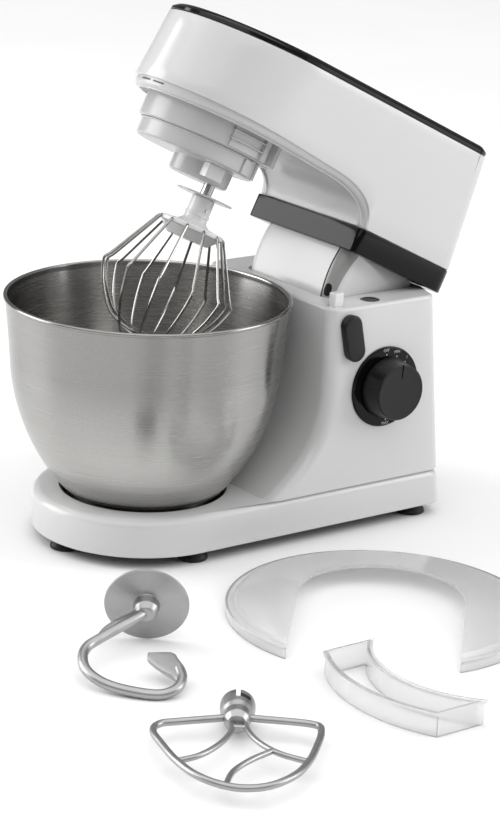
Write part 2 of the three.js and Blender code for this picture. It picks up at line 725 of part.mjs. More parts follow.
const bandBottom = COLUMN_TOP + RUN_GAP;
const bandTop = bandBottom + BAND_HEIGHT;

function headBand() {
  const outer = upright(new THREE.Shape(bandOutline(0)), bandBottom, bandTop);
  return outer.subtract(upright(new THREE.Shape(bandOutline(WALL)), bandBottom - 1, bandTop + 1));
}

function headOutline(z, inset) {
  return planOutline({
    front: HEAD_NOSE_TIP_X + HEAD_NOSE_LEAN * (z - CHIN_Z) + inset,
    rear: HEAD_REAR_X - HEAD_REAR_LEAN * (z - bandTop) - inset,
    halfWidth: HEAD_HALF_WIDTH - inset,
    frontLength: HEAD_NOSE_LENGTH - inset,
    rearRadius: HEAD_REAR_CORNER_RADIUS,
    bulge: HEAD_REAR_BULGE,
  });
}

function headForm(inset, bottom, top) {
  return lofted([bottom, top].map((z) => ({ z, outline: headOutline(z, inset) })));
}

// The head's top line: level at the rear, falling gently to the nose.
function topLine(lift) {
  const z = HEAD_TOP_Z + lift;
  const nose = HEAD_NOSE_TIP_X - 20;
  return new THREE.QuadraticBezierCurve(
    new THREE.Vector2(HEAD_REAR_X + 30, z),
    new THREE.Vector2(nose * 0.1, z - 1),
    new THREE.Vector2(nose, z - HEAD_TOP_NOSE_DROP - 1),
  ).getPoints(10);
}

// The lower edge of the head's side, from the nose back and down to the band, lowered by drop(x).
function lowerLine(drop) {
  const reach = BAND_FRONT_X + 4.4 - CHEEK_X;
  const points = [];
  for (const share of [-0.1, 0.25, 0.5, 0.75]) {
    const x = HEAD_NOSE_TIP_X + (CHEEK_X - HEAD_NOSE_TIP_X) * share;
    const z = CHIN_Z - (CHIN_Z - CHIN_REAR_Z) * Math.max(share, 0) ** 1.6;
    points.push(new THREE.Vector2(x, z - drop(share)));
  }
  const curve = new THREE.CubicBezierCurve(
    new THREE.Vector2(CHEEK_X, CHIN_REAR_Z - drop(1)),
    new THREE.Vector2(CHEEK_X + reach * 0.62, CHIN_REAR_Z - 1.5 - drop(1)),
    new THREE.Vector2(CHEEK_X + reach - 2 - drop(1), bandTop + 16),
    new THREE.Vector2(CHEEK_X + reach - drop(1) * 1.3, bandTop),
  );
  return [...points, ...curve.getPoints(8)];
}

const lipDepth = (share) => LIP_NOSE_DEPTH + (LIP_REAR_DEPTH - LIP_NOSE_DEPTH) * Math.min(1, Math.max(0, share));

// The side view of the white shell, from its lower edge to its top line.
function sideView(lower, upper, floor) {
  const behind = HEAD_REAR_X + 30;
  return new THREE.Shape([
    ...lower,
    new THREE.Vector2(lower[lower.length - 1].x, floor),
    new THREE.Vector2(behind, floor),
    ...upper,
  ]);
}

function headHousing() {
  const bottom = bandTop + SEAT_GAP;
  const view = sideView(lowerLine(() => 0), topLine(0), bottom);
  const form = headForm(0, bottom, HEAD_TOP_Z + 10).subtract(headForm(WALL, bottom - 10, HEAD_TOP_Z + 12));
  const width = HEAD_HALF_WIDTH + 10;
  return form.intersect(across(view, -width, width));
}

function headTopCover() {
  const lower = topLine(SEAT_GAP);
  const upper = topLine(COVER_THICKNESS);
  const view = new THREE.Shape([...lower, ...upper.reverse()]);
  const form = headForm(0, HEAD_TOP_Z - 30, HEAD_TOP_Z + 30);
  return form.intersect(across(view, -HEAD_HALF_WIDTH - 10, HEAD_HALF_WIDTH + 10));
}

// The cover under the head: a plate along the lower edge, with a wall down to the band.
function undersideCover() {
  const outer = lowerLine(lipDepth);
  const inner = lowerLine((share) => lipDepth(share) - UNDERSIDE_THICKNESS);
  const view = new THREE.Shape([...outer, ...inner.reverse()]);
  const width = HEAD_HALF_WIDTH + 10;
  const form = headForm(LIP_INSET + WALL + SEAT_GAP, bandTop + SEAT_GAP, CHIN_Z + 20);
  const plate = form.intersect(across(view, -width, width));
  const rim = new THREE.Shape([...outer, ...lowerLine(() => SEAT_GAP).reverse()]);
  const edge = headForm(LIP_INSET, bandTop + SEAT_GAP, CHIN_Z + 20)
    .subtract(headForm(LIP_INSET + WALL + 1, bandTop, CHIN_Z + 21))
    .intersect(across(rim, -width, width));
  return plate.add(edge).subtract(cylinder(DRUM_RADIUS + SEAT_GAP, bandTop, CHIN_Z + 20, 40));
}

// ---------------------------------------------------------------- planetary drive

const orbit = (GEAR_MODULE * (RING_TEETH - PLANET_TEETH)) / 2;
const toolX = orbit * Math.cos(TOOL_ANGLE * RAD);
const toolY = orbit * Math.sin(TOOL_ANGLE * RAD);
const drumTop = CHIN_Z - 6;
const blockTop = CHIN_REAR_Z - LIP_REAR_DEPTH;

// A toothed outline with straight flanks about the origin. outward is 1 for a gear and -1 for a ring.
function toothed(teeth, outward) {
  const pitch = (GEAR_MODULE * teeth) / 2;
  const tip = pitch + outward * TOOTH_ADDENDUM * GEAR_MODULE;
  const root = pitch - outward * TOOTH_DEDENDUM * GEAR_MODULE;
  const quarter = (Math.PI * GEAR_MODULE) / 4;
  const slope = Math.tan(20 * RAD);
  const halfAt = (radius) => quarter - GEAR_BACKLASH - outward * (radius - pitch) * slope;
  const points = [];
  for (let i = 0; i < teeth; i += 1) {
    const middle = (2 * Math.PI * i) / teeth;
    for (const [radius, side] of [[root, -1], [tip, -1], [tip, 1], [root, 1]]) {
      const angle = middle + (side * halfAt(radius)) / radius;
      points.push(new THREE.Vector2(radius * Math.cos(angle), radius * Math.sin(angle)));
    }
  }
  return points;
}

function ringGear() {
  const shape = circle(DRUM_RADIUS - WALL - SEAT_GAP);
  shape.holes.push(new THREE.Path(toothed(RING_TEETH, -1)));
  return upright(shape, GEAR_BOTTOM, GEAR_BOTTOM + GEAR_THICKNESS, 12).rotate([0, 0, TOOL_ANGLE]);
}

// The planet is turned half a tooth so that a gap of its own faces the ring's tooth.
function planetGear() {
  const halfTooth = 180 / PLANET_TEETH;
  const gear = upright(new THREE.Shape(toothed(PLANET_TEETH, 1)), GEAR_BOTTOM, GEAR_BOTTOM + GEAR_THICKNESS)
    .rotate([0, 0, halfTooth + TOOL_ANGLE]);
  const bore = cylinder(TOOL_SHAFT_RADIUS + SEAT_GAP, GEAR_BOTTOM - 1, GEAR_BOTTOM + GEAR_THICKNESS + 1, 16);
  return at(gear.subtract(bore), toolX, toolY);
}

function planetaryHousing() {
  const cup = turned([
    [BEARING_RADIUS + SEAT_GAP, drumTop - 3],
    [DRUM_RADIUS - WALL, drumTop - 3],
    [DRUM_RADIUS - WALL, DRUM_BOTTOM],
    [DRUM_RADIUS, DRUM_BOTTOM],
    [DRUM_RADIUS, drumTop],
    [BEARING_RADIUS + SEAT_GAP, drumTop],
    [BEARING_RADIUS + SEAT_GAP, drumTop - 3],
  ], 40);
  // two stiffening fins behind the drum
  const fins = [0, 7.5].map((drop) => box(DRUM_RADIUS - 14, DRUM_RADIUS + 9, -20, 20,
    blockTop - 5 - drop, blockTop - 1.5 - drop));
  const block = box(DRUM_RADIUS - 14, DRUM_RADIUS + 6, -18, 18, DRUM_BOTTOM + 1, blockTop);
  const inside = cylinder(DRUM_RADIUS - WALL, DRUM_BOTTOM, drumTop - 1, 40);
  return fins.reduce((whole, fin) => whole.add(fin.subtract(inside)), cup.add(block.subtract(inside)));
}

function planetCarrier() {
  const top = DRUM_BOTTOM - RUN_GAP;
  const bossX = BOSS_OFFSET * Math.cos(TOOL_ANGLE * RAD);
  const bossY = BOSS_OFFSET * Math.sin(TOOL_ANGLE * RAD);
  const form = cylinder(CARRIER_RADIUS, CARRIER_BOTTOM, top, 32)
    .add(at(cylinder(BOSS_RADIUS, BOSS_BOTTOM, CARRIER_BOTTOM + 1, 24), bossX, bossY))
    .add(cylinder(CARRIER_NECK_RADIUS, top - 1, GEAR_BOTTOM - RUN_GAP, 16));
  const flat = BOSS_OFFSET + BOSS_RADIUS - 1.8;
  const face = box(flat, flat + 10, -9, 9, BOSS_BOTTOM - 1, CARRIER_BOTTOM).rotate([0, 0, TOOL_ANGLE - 42]);
  const toolBore = at(cylinder(TOOL_SHAFT_RADIUS + BORE_GAP, BOSS_BOTTOM - 1, top + 5, 20), toolX, toolY);
  const socket = cylinder(CARRIER_SHAFT_RADIUS + SEAT_GAP, top - 8, top + 10, 20);
  return form.subtract(face).subtract(toolBore).subtract(socket);
}

function carrierShaft() {
  const top = DRUM_BOTTOM - RUN_GAP;
  return cylinder(CARRIER_SHAFT_RADIUS, top - 8 + SEAT_GAP, PULLEY_BOTTOM + PULLEY_HEIGHT + 1, 20);
}

function shaftBearing() {
  return ring(BEARING_RADIUS, CARRIER_SHAFT_RADIUS + BORE_GAP, drumTop - 3, CHIN_Z + 1, 24);
}

// A flanged belt pulley on a shaft of the given radius.
function pulley(radius, shaftRadius, segments) {
  const z0 = PULLEY_BOTTOM;
  const z1 = PULLEY_BOTTOM + PULLEY_HEIGHT;
  const bore = shaftRadius + SEAT_GAP;
  const edge = radius + PULLEY_FLANGE + BELT_THICKNESS * 0.4;
  return turned([
    [bore, z0],
    [edge, z0],
    [edge, z0 + 1],
    [radius, z0 + 1.4],
    [radius, z1 - 1.4],
    [edge, z1 - 1],
    [edge, z1],
    [bore, z1],
    [bore, z0],
  ], segments);
}

// An open belt round both pulleys, as an outline grown by grow from their working radii.
function beltLoop(grow) {
  const wrap = Math.asin((PULLEY_RADIUS - MOTOR_PULLEY_RADIUS) / MOTOR_X);
  const shape = new THREE.Shape();
  const from = Math.PI / 2 - wrap;
  shape.absarc(0, 0, PULLEY_RADIUS + grow, from, 2 * Math.PI - from);
  shape.absarc(MOTOR_X, 0, MOTOR_PULLEY_RADIUS + grow, -from, from);
  return shape;
}

function driveBelt() {
  const z0 = PULLEY_BOTTOM + 1.4 + SEAT_GAP;
  const z1 = PULLEY_BOTTOM + PULLEY_HEIGHT - 1.4 - SEAT_GAP;
  const outer = upright(beltLoop(SEAT_GAP + BELT_THICKNESS), z0, z1, 14);
  return outer.subtract(upright(beltLoop(SEAT_GAP * 2), z0 - 1, z1 + 1, 14));
}

const motorBottom = bandBottom + WALL + MOTOR_FLOOR + SEAT_GAP;
const motorTop = motorBottom + 8 + MOTOR_HEIGHT;

// The laminated stator on its lower end frame, bored for the rotor.
function motorStator() {
  const half = MOTOR_HALF_WIDTH;
  const corner = 8;
  const shape = new THREE.Shape();
  for (const [sx, sy, from] of [[1, -1, 270], [1, 1, 0], [-1, 1, 90], [-1, -1, 180]]) {
    shape.absarc(sx * (half - corner), sy * (half - corner), corner, from * RAD, (from + 90) * RAD);
  }
  const block = upright(shape, motorBottom, motorTop, 3);
  const bore = cylinder(ROTOR_RADIUS + 1, motorBottom + 8, motorTop + 1, 28);
  const bearing = cylinder(MOTOR_SHAFT_RADIUS + BORE_GAP, motorBottom - 1, motorTop, 16);
  return at(block.subtract(bore).subtract(bearing), MOTOR_X, 0);
}

function motorBracket() {
  const plate = box(-MOTOR_HALF_WIDTH, MOTOR_HALF_WIDTH, -MOTOR_HALF_WIDTH, MOTOR_HALF_WIDTH,
    PULLEY_BOTTOM - 6, PULLEY_BOTTOM - 3);
  const bore = cylinder(MOTOR_SHAFT_RADIUS + BORE_GAP, PULLEY_BOTTOM - 20, PULLEY_BOTTOM, 16);
  let bracket = plate;
  for (const [sx, sy] of [[1, 1], [1, -1], [-1, 1], [-1, -1]]) {
    const x = sx * (MOTOR_HALF_WIDTH - 4);
    const y = sy * (MOTOR_HALF_WIDTH - 4);
    const post = box(x - 3, x + 3, y - 3, y + 3, motorTop + SEAT_GAP, PULLEY_BOTTOM - 5);
    bracket = bracket.add(post);
  }
  return at(bracket.subtract(bore), MOTOR_X, 0);
}

function motorArmature() {
  const form = cylinder(MOTOR_SHAFT_RADIUS, motorBottom + 2, PULLEY_BOTTOM + PULLEY_HEIGHT + 1, 16)
    .add(cylinder(ROTOR_RADIUS, motorBottom + 12, motorTop - 4, 28));
  return at(form, MOTOR_X, 0);
}

function motorFan() {
  const z0 = motorTop + 3;
  const hub = cylinder(9, z0, z0 + 9, 16).add(cylinder(FAN_RADIUS, z0, z0 + 1.6, 28));
  const blade = box(8, FAN_RADIUS - 1, -0.8, 0.8, z0 + 1, z0 + 9);
  let fan = hub;
  for (let i = 0; i < FAN_BLADES; i += 1) fan = fan.add(blade.rotate([0, 0, (360 * i) / FAN_BLADES]));
  const bore = cylinder(MOTOR_SHAFT_RADIUS + SEAT_GAP, z0 - 1, z0 + 10, 16);
  return at(fan.subtract(bore), MOTOR_X, 0);
}

// ---------------------------------------------------------------- tool shaft and whisk

function toolShaft() {
  const pinEnd = SLEEVE_RADIUS + 1.2;
  const shaft = cylinder(TOOL_SHAFT_RADIUS, CROSS_PIN_Z - 8, GEAR_BOTTOM + GEAR_THICKNESS + 1, 16);
  const pin = crossCylinder(CROSS_PIN_RADIUS, 0, CROSS_PIN_Z, -pinEnd, pinEnd, 10);
  return at(shaft.add(pin), toolX, toolY);
}

function dripDisc() {
  const disc = ring(DISC_RADIUS, TOOL_SHAFT_RADIUS + SEAT_GAP, DISC_Z, DISC_Z + DISC_THICKNESS, 28);
  return at(disc, toolX, toolY);
}

function whiskHub() {
  const flangeBottom = FLANGE_TOP - FLANGE_THICKNESS;
  const bore = TOOL_SHAFT_RADIUS + SEAT_GAP;
  const hub = turned([
    [0, HUB_BOTTOM],
    [HUB_CONE_RADIUS, HUB_BOTTOM],
    [FLANGE_RADIUS - 2.5, flangeBottom],
    [FLANGE_RADIUS, flangeBottom + 1],
    [FLANGE_RADIUS, FLANGE_TOP - 1],
    [FLANGE_RADIUS - 1.5, FLANGE_TOP],
    [SLEEVE_RADIUS + 3, FLANGE_TOP + 1],
    [SLEEVE_RADIUS, FLANGE_TOP + 4],
    [SLEEVE_RADIUS, SLEEVE_TOP],
    [bore, SLEEVE_TOP],
    [bore, CROSS_PIN_Z - 8 - SEAT_GAP],
    [0, CROSS_PIN_Z - 8 - SEAT_GAP],
  ], 24);
  // the bayonet: the cross pin drops down a slot and turns into its side pocket
  const half = CROSS_PIN_RADIUS + SEAT_GAP;
  const slot = box(-half, half, -20, 20, CROSS_PIN_Z - half, SLEEVE_TOP + 1);
  let made = hub.subtract(slot);
  for (let i = 0; i < 2 * WIRE_LOOPS; i += 1) {
    made = made.subtract(wireHole((360 * (i + 0.5)) / (2 * WIRE_LOOPS)));
  }
  return at(made, toolX, toolY);
}

// The leg of a wire leaves the flange's underside at this slope.
const legStartZ = FLANGE_TOP - FLANGE_THICKNESS - 1.5;

function wireHole(angle) {
  const reach = 8;
  const hole = cylinder(WIRE_RADIUS + SEAT_GAP, -20, reach, 6);
  const slope = Math.atan2(KNEE_RADIUS - WIRE_START_RADIUS, legStartZ - KNEE_Z) / RAD;
  return hole.rotate([0, 180 - slope, 0]).translate([WIRE_START_RADIUS, 0, legStartZ])
    .subtract(cylinder(HUB_CONE_RADIUS - 1, HUB_BOTTOM - 30, legStartZ + 2.6, 12))
    .rotate([0, 0, angle]);
}

// One loop of wire: up a leg to the knee, in under the bottom and back up the other side.
function whiskLoop(order) {
  const angle = ((180 * (order + 0.5)) / WIRE_LOOPS) * RAD;
  const bottom = WHISK_BOTTOM + LOOP_PITCH * order;
  const flank = [
    [WIRE_START_RADIUS, legStartZ],
    [KNEE_RADIUS - KNEE_BEND * 0.55, KNEE_Z + KNEE_BEND * 0.85],
    [KNEE_RADIUS, KNEE_Z],
    [KNEE_RADIUS - KNEE_BEND * 0.12, KNEE_Z - KNEE_BEND],
    [KNEE_RADIUS * 0.865, KNEE_Z - (KNEE_Z - bottom) * 0.45],
    [KNEE_RADIUS * 0.6, KNEE_Z - (KNEE_Z - bottom) * 0.83],
    [KNEE_RADIUS * 0.28, bottom + 1.6],
  ];
  const along = (radius, z) => new THREE.Vector3(radius * Math.cos(angle), radius * Math.sin(angle), z);
  const points = [
    ...flank.map(([radius, z]) => along(radius, z)),
    along(0, bottom),
    ...flank.reverse().map(([radius, z]) => along(-radius, z)),
  ];
  const curve = new THREE.CatmullRomCurve3(points, false, 'centripetal');
  return at(swept(curve, circle(WIRE_RADIUS), 24, 3), toolX, toolY);
}

// ---------------------------------------------------------------- controls

const sideFace = -BASE_HALF_WIDTH;

function knobPlate() {
  const plate = turned([
    [KNOB_SHAFT_RADIUS + BORE_GAP, 0],
    [KNOB_PLATE_RADIUS, 0],
    [KNOB_PLATE_RADIUS, KNOB_PLATE_THICKNESS * 0.6],
    [KNOB_PLATE_RADIUS - 1.5, KNOB_PLATE_THICKNESS],
    [KNOB_SHAFT_RADIUS + BORE_GAP, KNOB_PLATE_THICKNESS],
    [KNOB_SHAFT_RADIUS + BORE_GAP, 0],
  ], 32);
  return at(plate.rotate([90, 0, 0]), KNOB_X, sideFace - SEAT_GAP, KNOB_Z);
}

// The knob is turned along its own axis, then laid on its side with the pointer at KNOB_ANGLE.
function speedKnob() {
  const foot = KNOB_PLATE_THICKNESS + SEAT_GAP + RUN_GAP;
  const face = foot + KNOB_HEIGHT;
  const body = turned([
    [0, foot],
    [KNOB_RADIUS - 1, foot],
    [KNOB_RADIUS, foot + 1],
    [KNOB_RADIUS - 1.2, face - 3],
    [KNOB_RADIUS - 3.6, face - 0.4],
    [KNOB_RADIUS - 6, face],
    [0, face - 1.2],
  ], 36);
  const notch = box(-1.3, 1.3, KNOB_RADIUS - 9, KNOB_RADIUS + 2, foot + 4, face + 2);
  const shaft = cylinder(KNOB_SHAFT_RADIUS, -2 * WALL, foot + 1, 16);
  const knob = body.subtract(notch).add(shaft);
  return at(knob.rotate([90, 0, 0]).rotate([0, KNOB_ANGLE, 0]), KNOB_X, sideFace, KNOB_Z);
}

// The speed switch behind the wall, with the knob's shaft running into it.
function speedSwitch() {
  const half = SWITCH_HALF_WIDTH;
  const front = sideFace + WALL + SEAT_GAP;
  const body = box(KNOB_X - half, KNOB_X + half, front, front + SWITCH_DEPTH, KNOB_Z - half, KNOB_Z + half);
  return body.subtract(crossCylinder(KNOB_SHAFT_RADIUS + BORE_GAP, KNOB_X, KNOB_Z, front - 1, front + 12, 16));
}

function controlBoard() {
  const front = sideFace + WALL + SWITCH_DEPTH + 2 * SEAT_GAP;
  const half = BOARD_HALF_WIDTH;
  return box(KNOB_X - half, KNOB_X + half, front, front + BOARD_THICKNESS, KNOB_Z - 1.2 * half, KNOB_Z + half);
}

function releaseLever() {
  const lean = LEVER_LEAN * RAD;
  const top = [LEVER_X - LEVER_LENGTH * Math.sin(lean), LEVER_Z + LEVER_LENGTH * Math.cos(lean)];
  const shape = new THREE.Shape();
  shape.absarc(LEVER_X, LEVER_Z, LEVER_RADIUS, Math.PI + lean, 2 * Math.PI + lean);
  shape.absarc(top[0], top[1], LEVER_RADIUS, lean, Math.PI + lean);
  const outside = sideFace - RUN_GAP;
  const paddle = across(shape, outside - LEVER_THICKNESS, outside, { bevel: 1.4, bevelSegments: 2 });
  return paddle.add(crossCylinder(LEVER_SHAFT_RADIUS, LEVER_X, LEVER_Z, outside - 2, sideFace + 12, 16));
}

function latchBlock() {
  const x = LATCH_LENGTH / 2;
  const y = LATCH_WIDTH / 2;
  return box(LATCH_X - x, LATCH_X + x, LATCH_Y - y, LATCH_Y + y, LATCH_BOTTOM, LATCH_TOP);
}

// ---------------------------------------------------------------- loose tools and guard

const TOOL_HUB_RADIUS = 12;
const TOOL_HUB_WAIST = 8.8;
const TOOL_HUB_LENGTH = 31;
const TOOL_SOCKET_DEPTH = 20;

// A tool's socket along X, its mouth at x = 0, still solid. collar is its profile between the ends.
function toolSocket(collar, length) {
  const socket = turned([
    [0, 0],
    [TOOL_HUB_RADIUS, 0],
    ...collar,
    [TOOL_HUB_WAIST, length - 5],
    [TOOL_HUB_WAIST - 2.8, length],
    [0, length],
  ], 24);
  return socket.rotate([0, 90, 0]);
}

// What is cut from a socket: the bore, and the slot and side pocket for the tool shaft's cross pin.
function socketBore() {
  const half = CROSS_PIN_RADIUS + BORE_GAP;
  const deep = TOOL_SOCKET_DEPTH / 2;
  const bore = cylinder(TOOL_SHAFT_RADIUS + BORE_GAP, -1, TOOL_SOCKET_DEPTH, 16);
  const slot = box(-half, half, -2 * TOOL_HUB_RADIUS, 2 * TOOL_HUB_RADIUS, -1, deep);
  const turn = box(-half, 3 * half, 0, 2 * TOOL_HUB_RADIUS, deep - 2 * half, deep);
  const back = box(-3 * half, half, -2 * TOOL_HUB_RADIUS, 0, deep - 2 * half, deep);
  return bore.add(slot).add(turn).add(back).rotate([0, 90, 0]);
}

// A rod of the given radius through hand-set shares of a length along X and a width along Y.
function rod(shares, length, width, radius, steps) {
  const points = shares.map(([x, y]) => new THREE.Vector3(x * length, y * width, 0));
  return swept(new THREE.CatmullRomCurve3(points, false, 'centripetal'), circle(radius), steps, 3);
}

const BEATER_LENGTH = 129;
const BEATER_HALF_WIDTH = 58.5;
const BEATER_ROD = 2.6;
const BEATER_RIB = 2;

// The flat beater: a shield-shaped frame, two ribs from the hub and a branch between them.
function flatBeater() {
  const length = BEATER_LENGTH - BEATER_ROD;
  const width = BEATER_HALF_WIDTH - BEATER_ROD;
  const frame = [
    [0.16, -0.08],
    [0.176, -0.19],
    [0.252, -0.76],
    [0.272, -0.88],
    [0.32, -0.965],
    [0.39, -0.97],
    [0.518, -0.865],
    [0.722, -0.66],
    [0.88, -0.415],
    [0.973, -0.13],
    [1, 0.115],
    [0.963, 0.4],
    [0.833, 0.685],
    [0.667, 0.847],
    [0.463, 0.95],
    [0.3, 1],
    [0.228, 0.98],
    [0.2, 0.87],
    [0.165, 0.24],
    [0.155, 0.08],
  ];
  const ribs = [
    [[0.2, -0.05], [0.352, -0.07], [0.518, -0.21], [0.648, -0.415], [0.722, -0.655]],
    [[0.2, 0.07], [0.37, 0.175], [0.49, 0.32], [0.584, 0.52], [0.663, 0.84]],
    [[0.55, 0.44], [0.667, 0.195], [0.815, -0.01], [0.985, -0.09]],
    [[0.285, -0.06], [0.285, 0.1]],
  ];
  let beater = toolSocket([], TOOL_HUB_LENGTH).add(rod(frame, length, width, BEATER_ROD, 40));
  for (const rib of ribs) beater = beater.add(rod(rib, length, width, BEATER_RIB, 3 * rib.length - 4));
  return at(beater.subtract(socketBore()), 0, 0, TOOL_HUB_RADIUS);
}

const HOOK_LENGTH = 129;
const HOOK_HALF_WIDTH = 44;
const HOOK_ROD = 3.7;
const HOOK_BLADE = 4.4; // the flat parts' thickness
const HOOK_HUB_LENGTH = 37;
const HOOK_DISC_RADIUS = 30.5;
const HOOK_DISC_X = 23;

// The dough hook: a disc round the hub, a web, then a rod that runs out, round and back to
// a flat tip. It lies on the disc's rim and the end of its curve.
function doughHook() {
  const length = HOOK_LENGTH - HOOK_ROD;
  const flat = (shares) => {
    const outline = shares.map(([x, y]) => new THREE.Vector2(x * length, y * HOOK_HALF_WIDTH));
    return upright(new THREE.Shape(outline), -HOOK_BLADE / 2, HOOK_BLADE / 2);
  };
  const path = [
    [0.255, -0.02],
    [0.3, -0.09],
    [0.411, -0.37],
    [0.526, -0.677],
    [0.61, -0.87],
    [0.7, -0.92],
    [0.82, -0.83],
    [0.925, -0.537],
    [0.986, -0.085],
    [1, 0.37],
    [0.947, 0.592],
    [0.86, 0.665],
    [0.77, 0.61],
  ];
  const web = [[0.27, 0], [0.27, -0.17], [0.31, -0.29], [0.37, -0.49], [0.45, -0.66], [0.53, -0.74], [0.56, -0.74], [0.4, -0.32]];
  const tip = [[0.86, 0.745], [0.77, 0.7], [0.655, 0.535], [0.642, 0.46], [0.648, 0.09], [0.7, 0.08], [0.78, 0.24], [0.87, 0.58]];
  const disc = [
    [TOOL_HUB_WAIST + 1.2, HOOK_DISC_X],
    [HOOK_DISC_RADIUS, HOOK_DISC_X],
    [HOOK_DISC_RADIUS, HOOK_DISC_X + 2],
    [TOOL_HUB_WAIST + 0.8, HOOK_DISC_X + 2],
  ];
  const body = toolSocket(disc, HOOK_HUB_LENGTH).subtract(socketBore());
  const hook = body.add(rod(path, length, HOOK_HALF_WIDTH, HOOK_ROD, 30)).add(flat(web)).add(flat(tip));
  const drop = Math.asin((HOOK_DISC_RADIUS - HOOK_ROD) / (length - HOOK_DISC_X)) / RAD;
  const laid = hook.rotate([0, drop, 0]);
  return at(laid, 0, 0, -laid.boundingBox().min[2]);
}

const GUARD_RADIUS = 116;
const GUARD_INNER_RADIUS = 62;
const GUARD_HEIGHT = 16;
const GUARD_RIM_HEIGHT = 8;
const GUARD_WALL = 2.2;

// The splash guard: a dished ring that steps over the bowl's rim. Its opening is
// as wide as its hole, with straight sides out to the rim.
function splashGuard() {
  const slope = [
    [GUARD_RADIUS, 0],
    [GUARD_RADIUS, GUARD_RIM_HEIGHT],
    [GUARD_RADIUS - 6, GUARD_RIM_HEIGHT + 0.5],
    [GUARD_RADIUS - 8, GUARD_RIM_HEIGHT + 2.5],
    [GUARD_INNER_RADIUS + 5, GUARD_HEIGHT - 0.5],
    [GUARD_INNER_RADIUS, GUARD_HEIGHT],
  ];
  const under = slope.slice().reverse().map(([radius, z]) => [
    radius === GUARD_INNER_RADIUS ? radius : radius - GUARD_WALL,
    z === 0 ? 0 : z - GUARD_WALL,
  ]);
  const shell = turned([...slope, ...under, slope[0]], 40);
  const half = GUARD_INNER_RADIUS;
  const opening = box(0, 2 * GUARD_RADIUS, -half, half, -1, 2 * GUARD_HEIGHT);
  return shell.subtract(opening.rotate([0, 0, GUARD_OPENING_ANGLE]));
}

const CHUTE_DEPTH = 32;
const CHUTE_HEIGHT = 18;
const CHUTE_WALL = 2.4;
const CHUTE_FLANGE = 2;

// The pouring chute fills the guard's opening: two curved walls joined by two straight end walls.
function pouringChute() {
  const outerRadius = GUARD_RADIUS + 2;
  const part = (grow, z0, z1) => {
    const disc = cylinder(outerRadius + grow, z0, z1, 48);
    const core = cylinder(outerRadius - CHUTE_DEPTH - grow, z0 - 1, z1 + 1, 48);
    const half = GUARD_INNER_RADIUS - SEAT_GAP + Math.min(grow, 0);
    return disc.subtract(core).intersect(box(0, 2 * GUARD_RADIUS, -half, half, z0, z1));
  };
  const frame = part(0, 0, CHUTE_HEIGHT).add(part(CHUTE_FLANGE, CHUTE_HEIGHT - CHUTE_WALL, CHUTE_HEIGHT));
  const hole = part(-CHUTE_WALL, -1, CHUTE_HEIGHT + 1);
  return frame.subtract(hole).translate([CHUTE_DEPTH / 2 - outerRadius, 0, 0]);
}

// ---------------------------------------------------------------- assembly

function rootParts() {
  return [
    named('base_housing', baseHousing(), WHITE),
    named('base_plate', basePlate(), BLACK_SATIN),
    ...footPlaces().map(([name, x, y]) => named(name, at(foot(), x, y), RUBBER)),
    named('shelf_plug', shelfPlug(), BLACK_SATIN),
    named('cord_inlet', cordInlet(), RUBBER),
    named('bowl_seat', bowlSeat(), BLACK_SATIN),
    named('hinge_pin', hingePin(), STEEL),
    named('hinge_bracket_left', hingeBracket(1), CAST),
    named('hinge_bracket_right', hingeBracket(-1), CAST),
    named('knob_plate', knobPlate(), BLACK_SATIN),
    named('speed_switch', speedSwitch(), BLACK_SATIN),
    named('control_board', controlBoard(), NYLON),
    named('speed_knob', speedKnob(), BLACK_SATIN),
    named('release_lever', releaseLever(), BLACK_SATIN),
    named('latch_block', latchBlock(), WHITE_SATIN),
    named('bowl', bowlShell(), STEEL),
    named('bowl_foot', bowlFoot(), STEEL),
  ];
}

function headParts() {
  const wires = [];
  for (let i = 0; i < WIRE_LOOPS; i += 1) {
    wires.push(named(`whisk_wire_${i + 1}`, whiskLoop(i), WIRE_STEEL));
  }
  return [
    named('head_band', headBand(), BLACK),
    named('head_housing', headHousing(), WHITE),
    named('head_top_cover', headTopCover(), BLACK),
    named('underside_cover', undersideCover(), WHITE_SATIN),
    named('hinge_frame', hingeFrame(), CAST),
    named('hinge_skirt', hingeSkirt(), WHITE_SATIN),
    named('planetary_housing', planetaryHousing(), WHITE_SATIN),
    named('ring_gear', ringGear(), NYLON),
    named('shaft_bearing', shaftBearing(), STEEL),
    named('motor_stator', motorStator(), COPPER),
    named('motor_bracket', motorBracket(), CAST),
    named('drive_belt', driveBelt(), RUBBER),
    named('planet_carrier', planetCarrier(), WHITE_SATIN),
    named('carrier_shaft', carrierShaft(), STEEL),
    named('carrier_pulley', pulley(PULLEY_RADIUS, CARRIER_SHAFT_RADIUS, 26), NYLON),
    named('motor_armature', motorArmature(), STEEL),
    named('motor_pulley', at(pulley(MOTOR_PULLEY_RADIUS, MOTOR_SHAFT_RADIUS, 16), MOTOR_X, 0), STEEL),
    named('motor_fan', motorFan(), NYLON),
    named('tool_shaft', toolShaft(), STEEL),
    named('planet_gear', planetGear(), NYLON),
    named('drip_disc', dripDisc(), NYLON),
    named('whisk_hub', whiskHub(), WHITE_SATIN),
    ...wires,
  ];
}

function looseParts() {
  const place = (name, manifold, finish, [x, y], turn) =>
    named(name, manifold.rotate([0, 0, turn]).translate([x, y, 0]), finish);
  return [
    place('dough_hook', doughHook(), CAST, HOOK_PLACE, TOOL_TURN),
    place('flat_beater', flatBeater(), CAST, BEATER_PLACE, TOOL_TURN),
    place('splash_guard', splashGuard(), CLEAR, GUARD_PLACE, 0),
    place('pouring_chute', pouringChute(), CLEAR, CHUTE_PLACE, CHUTE_TURN),
  ];
}

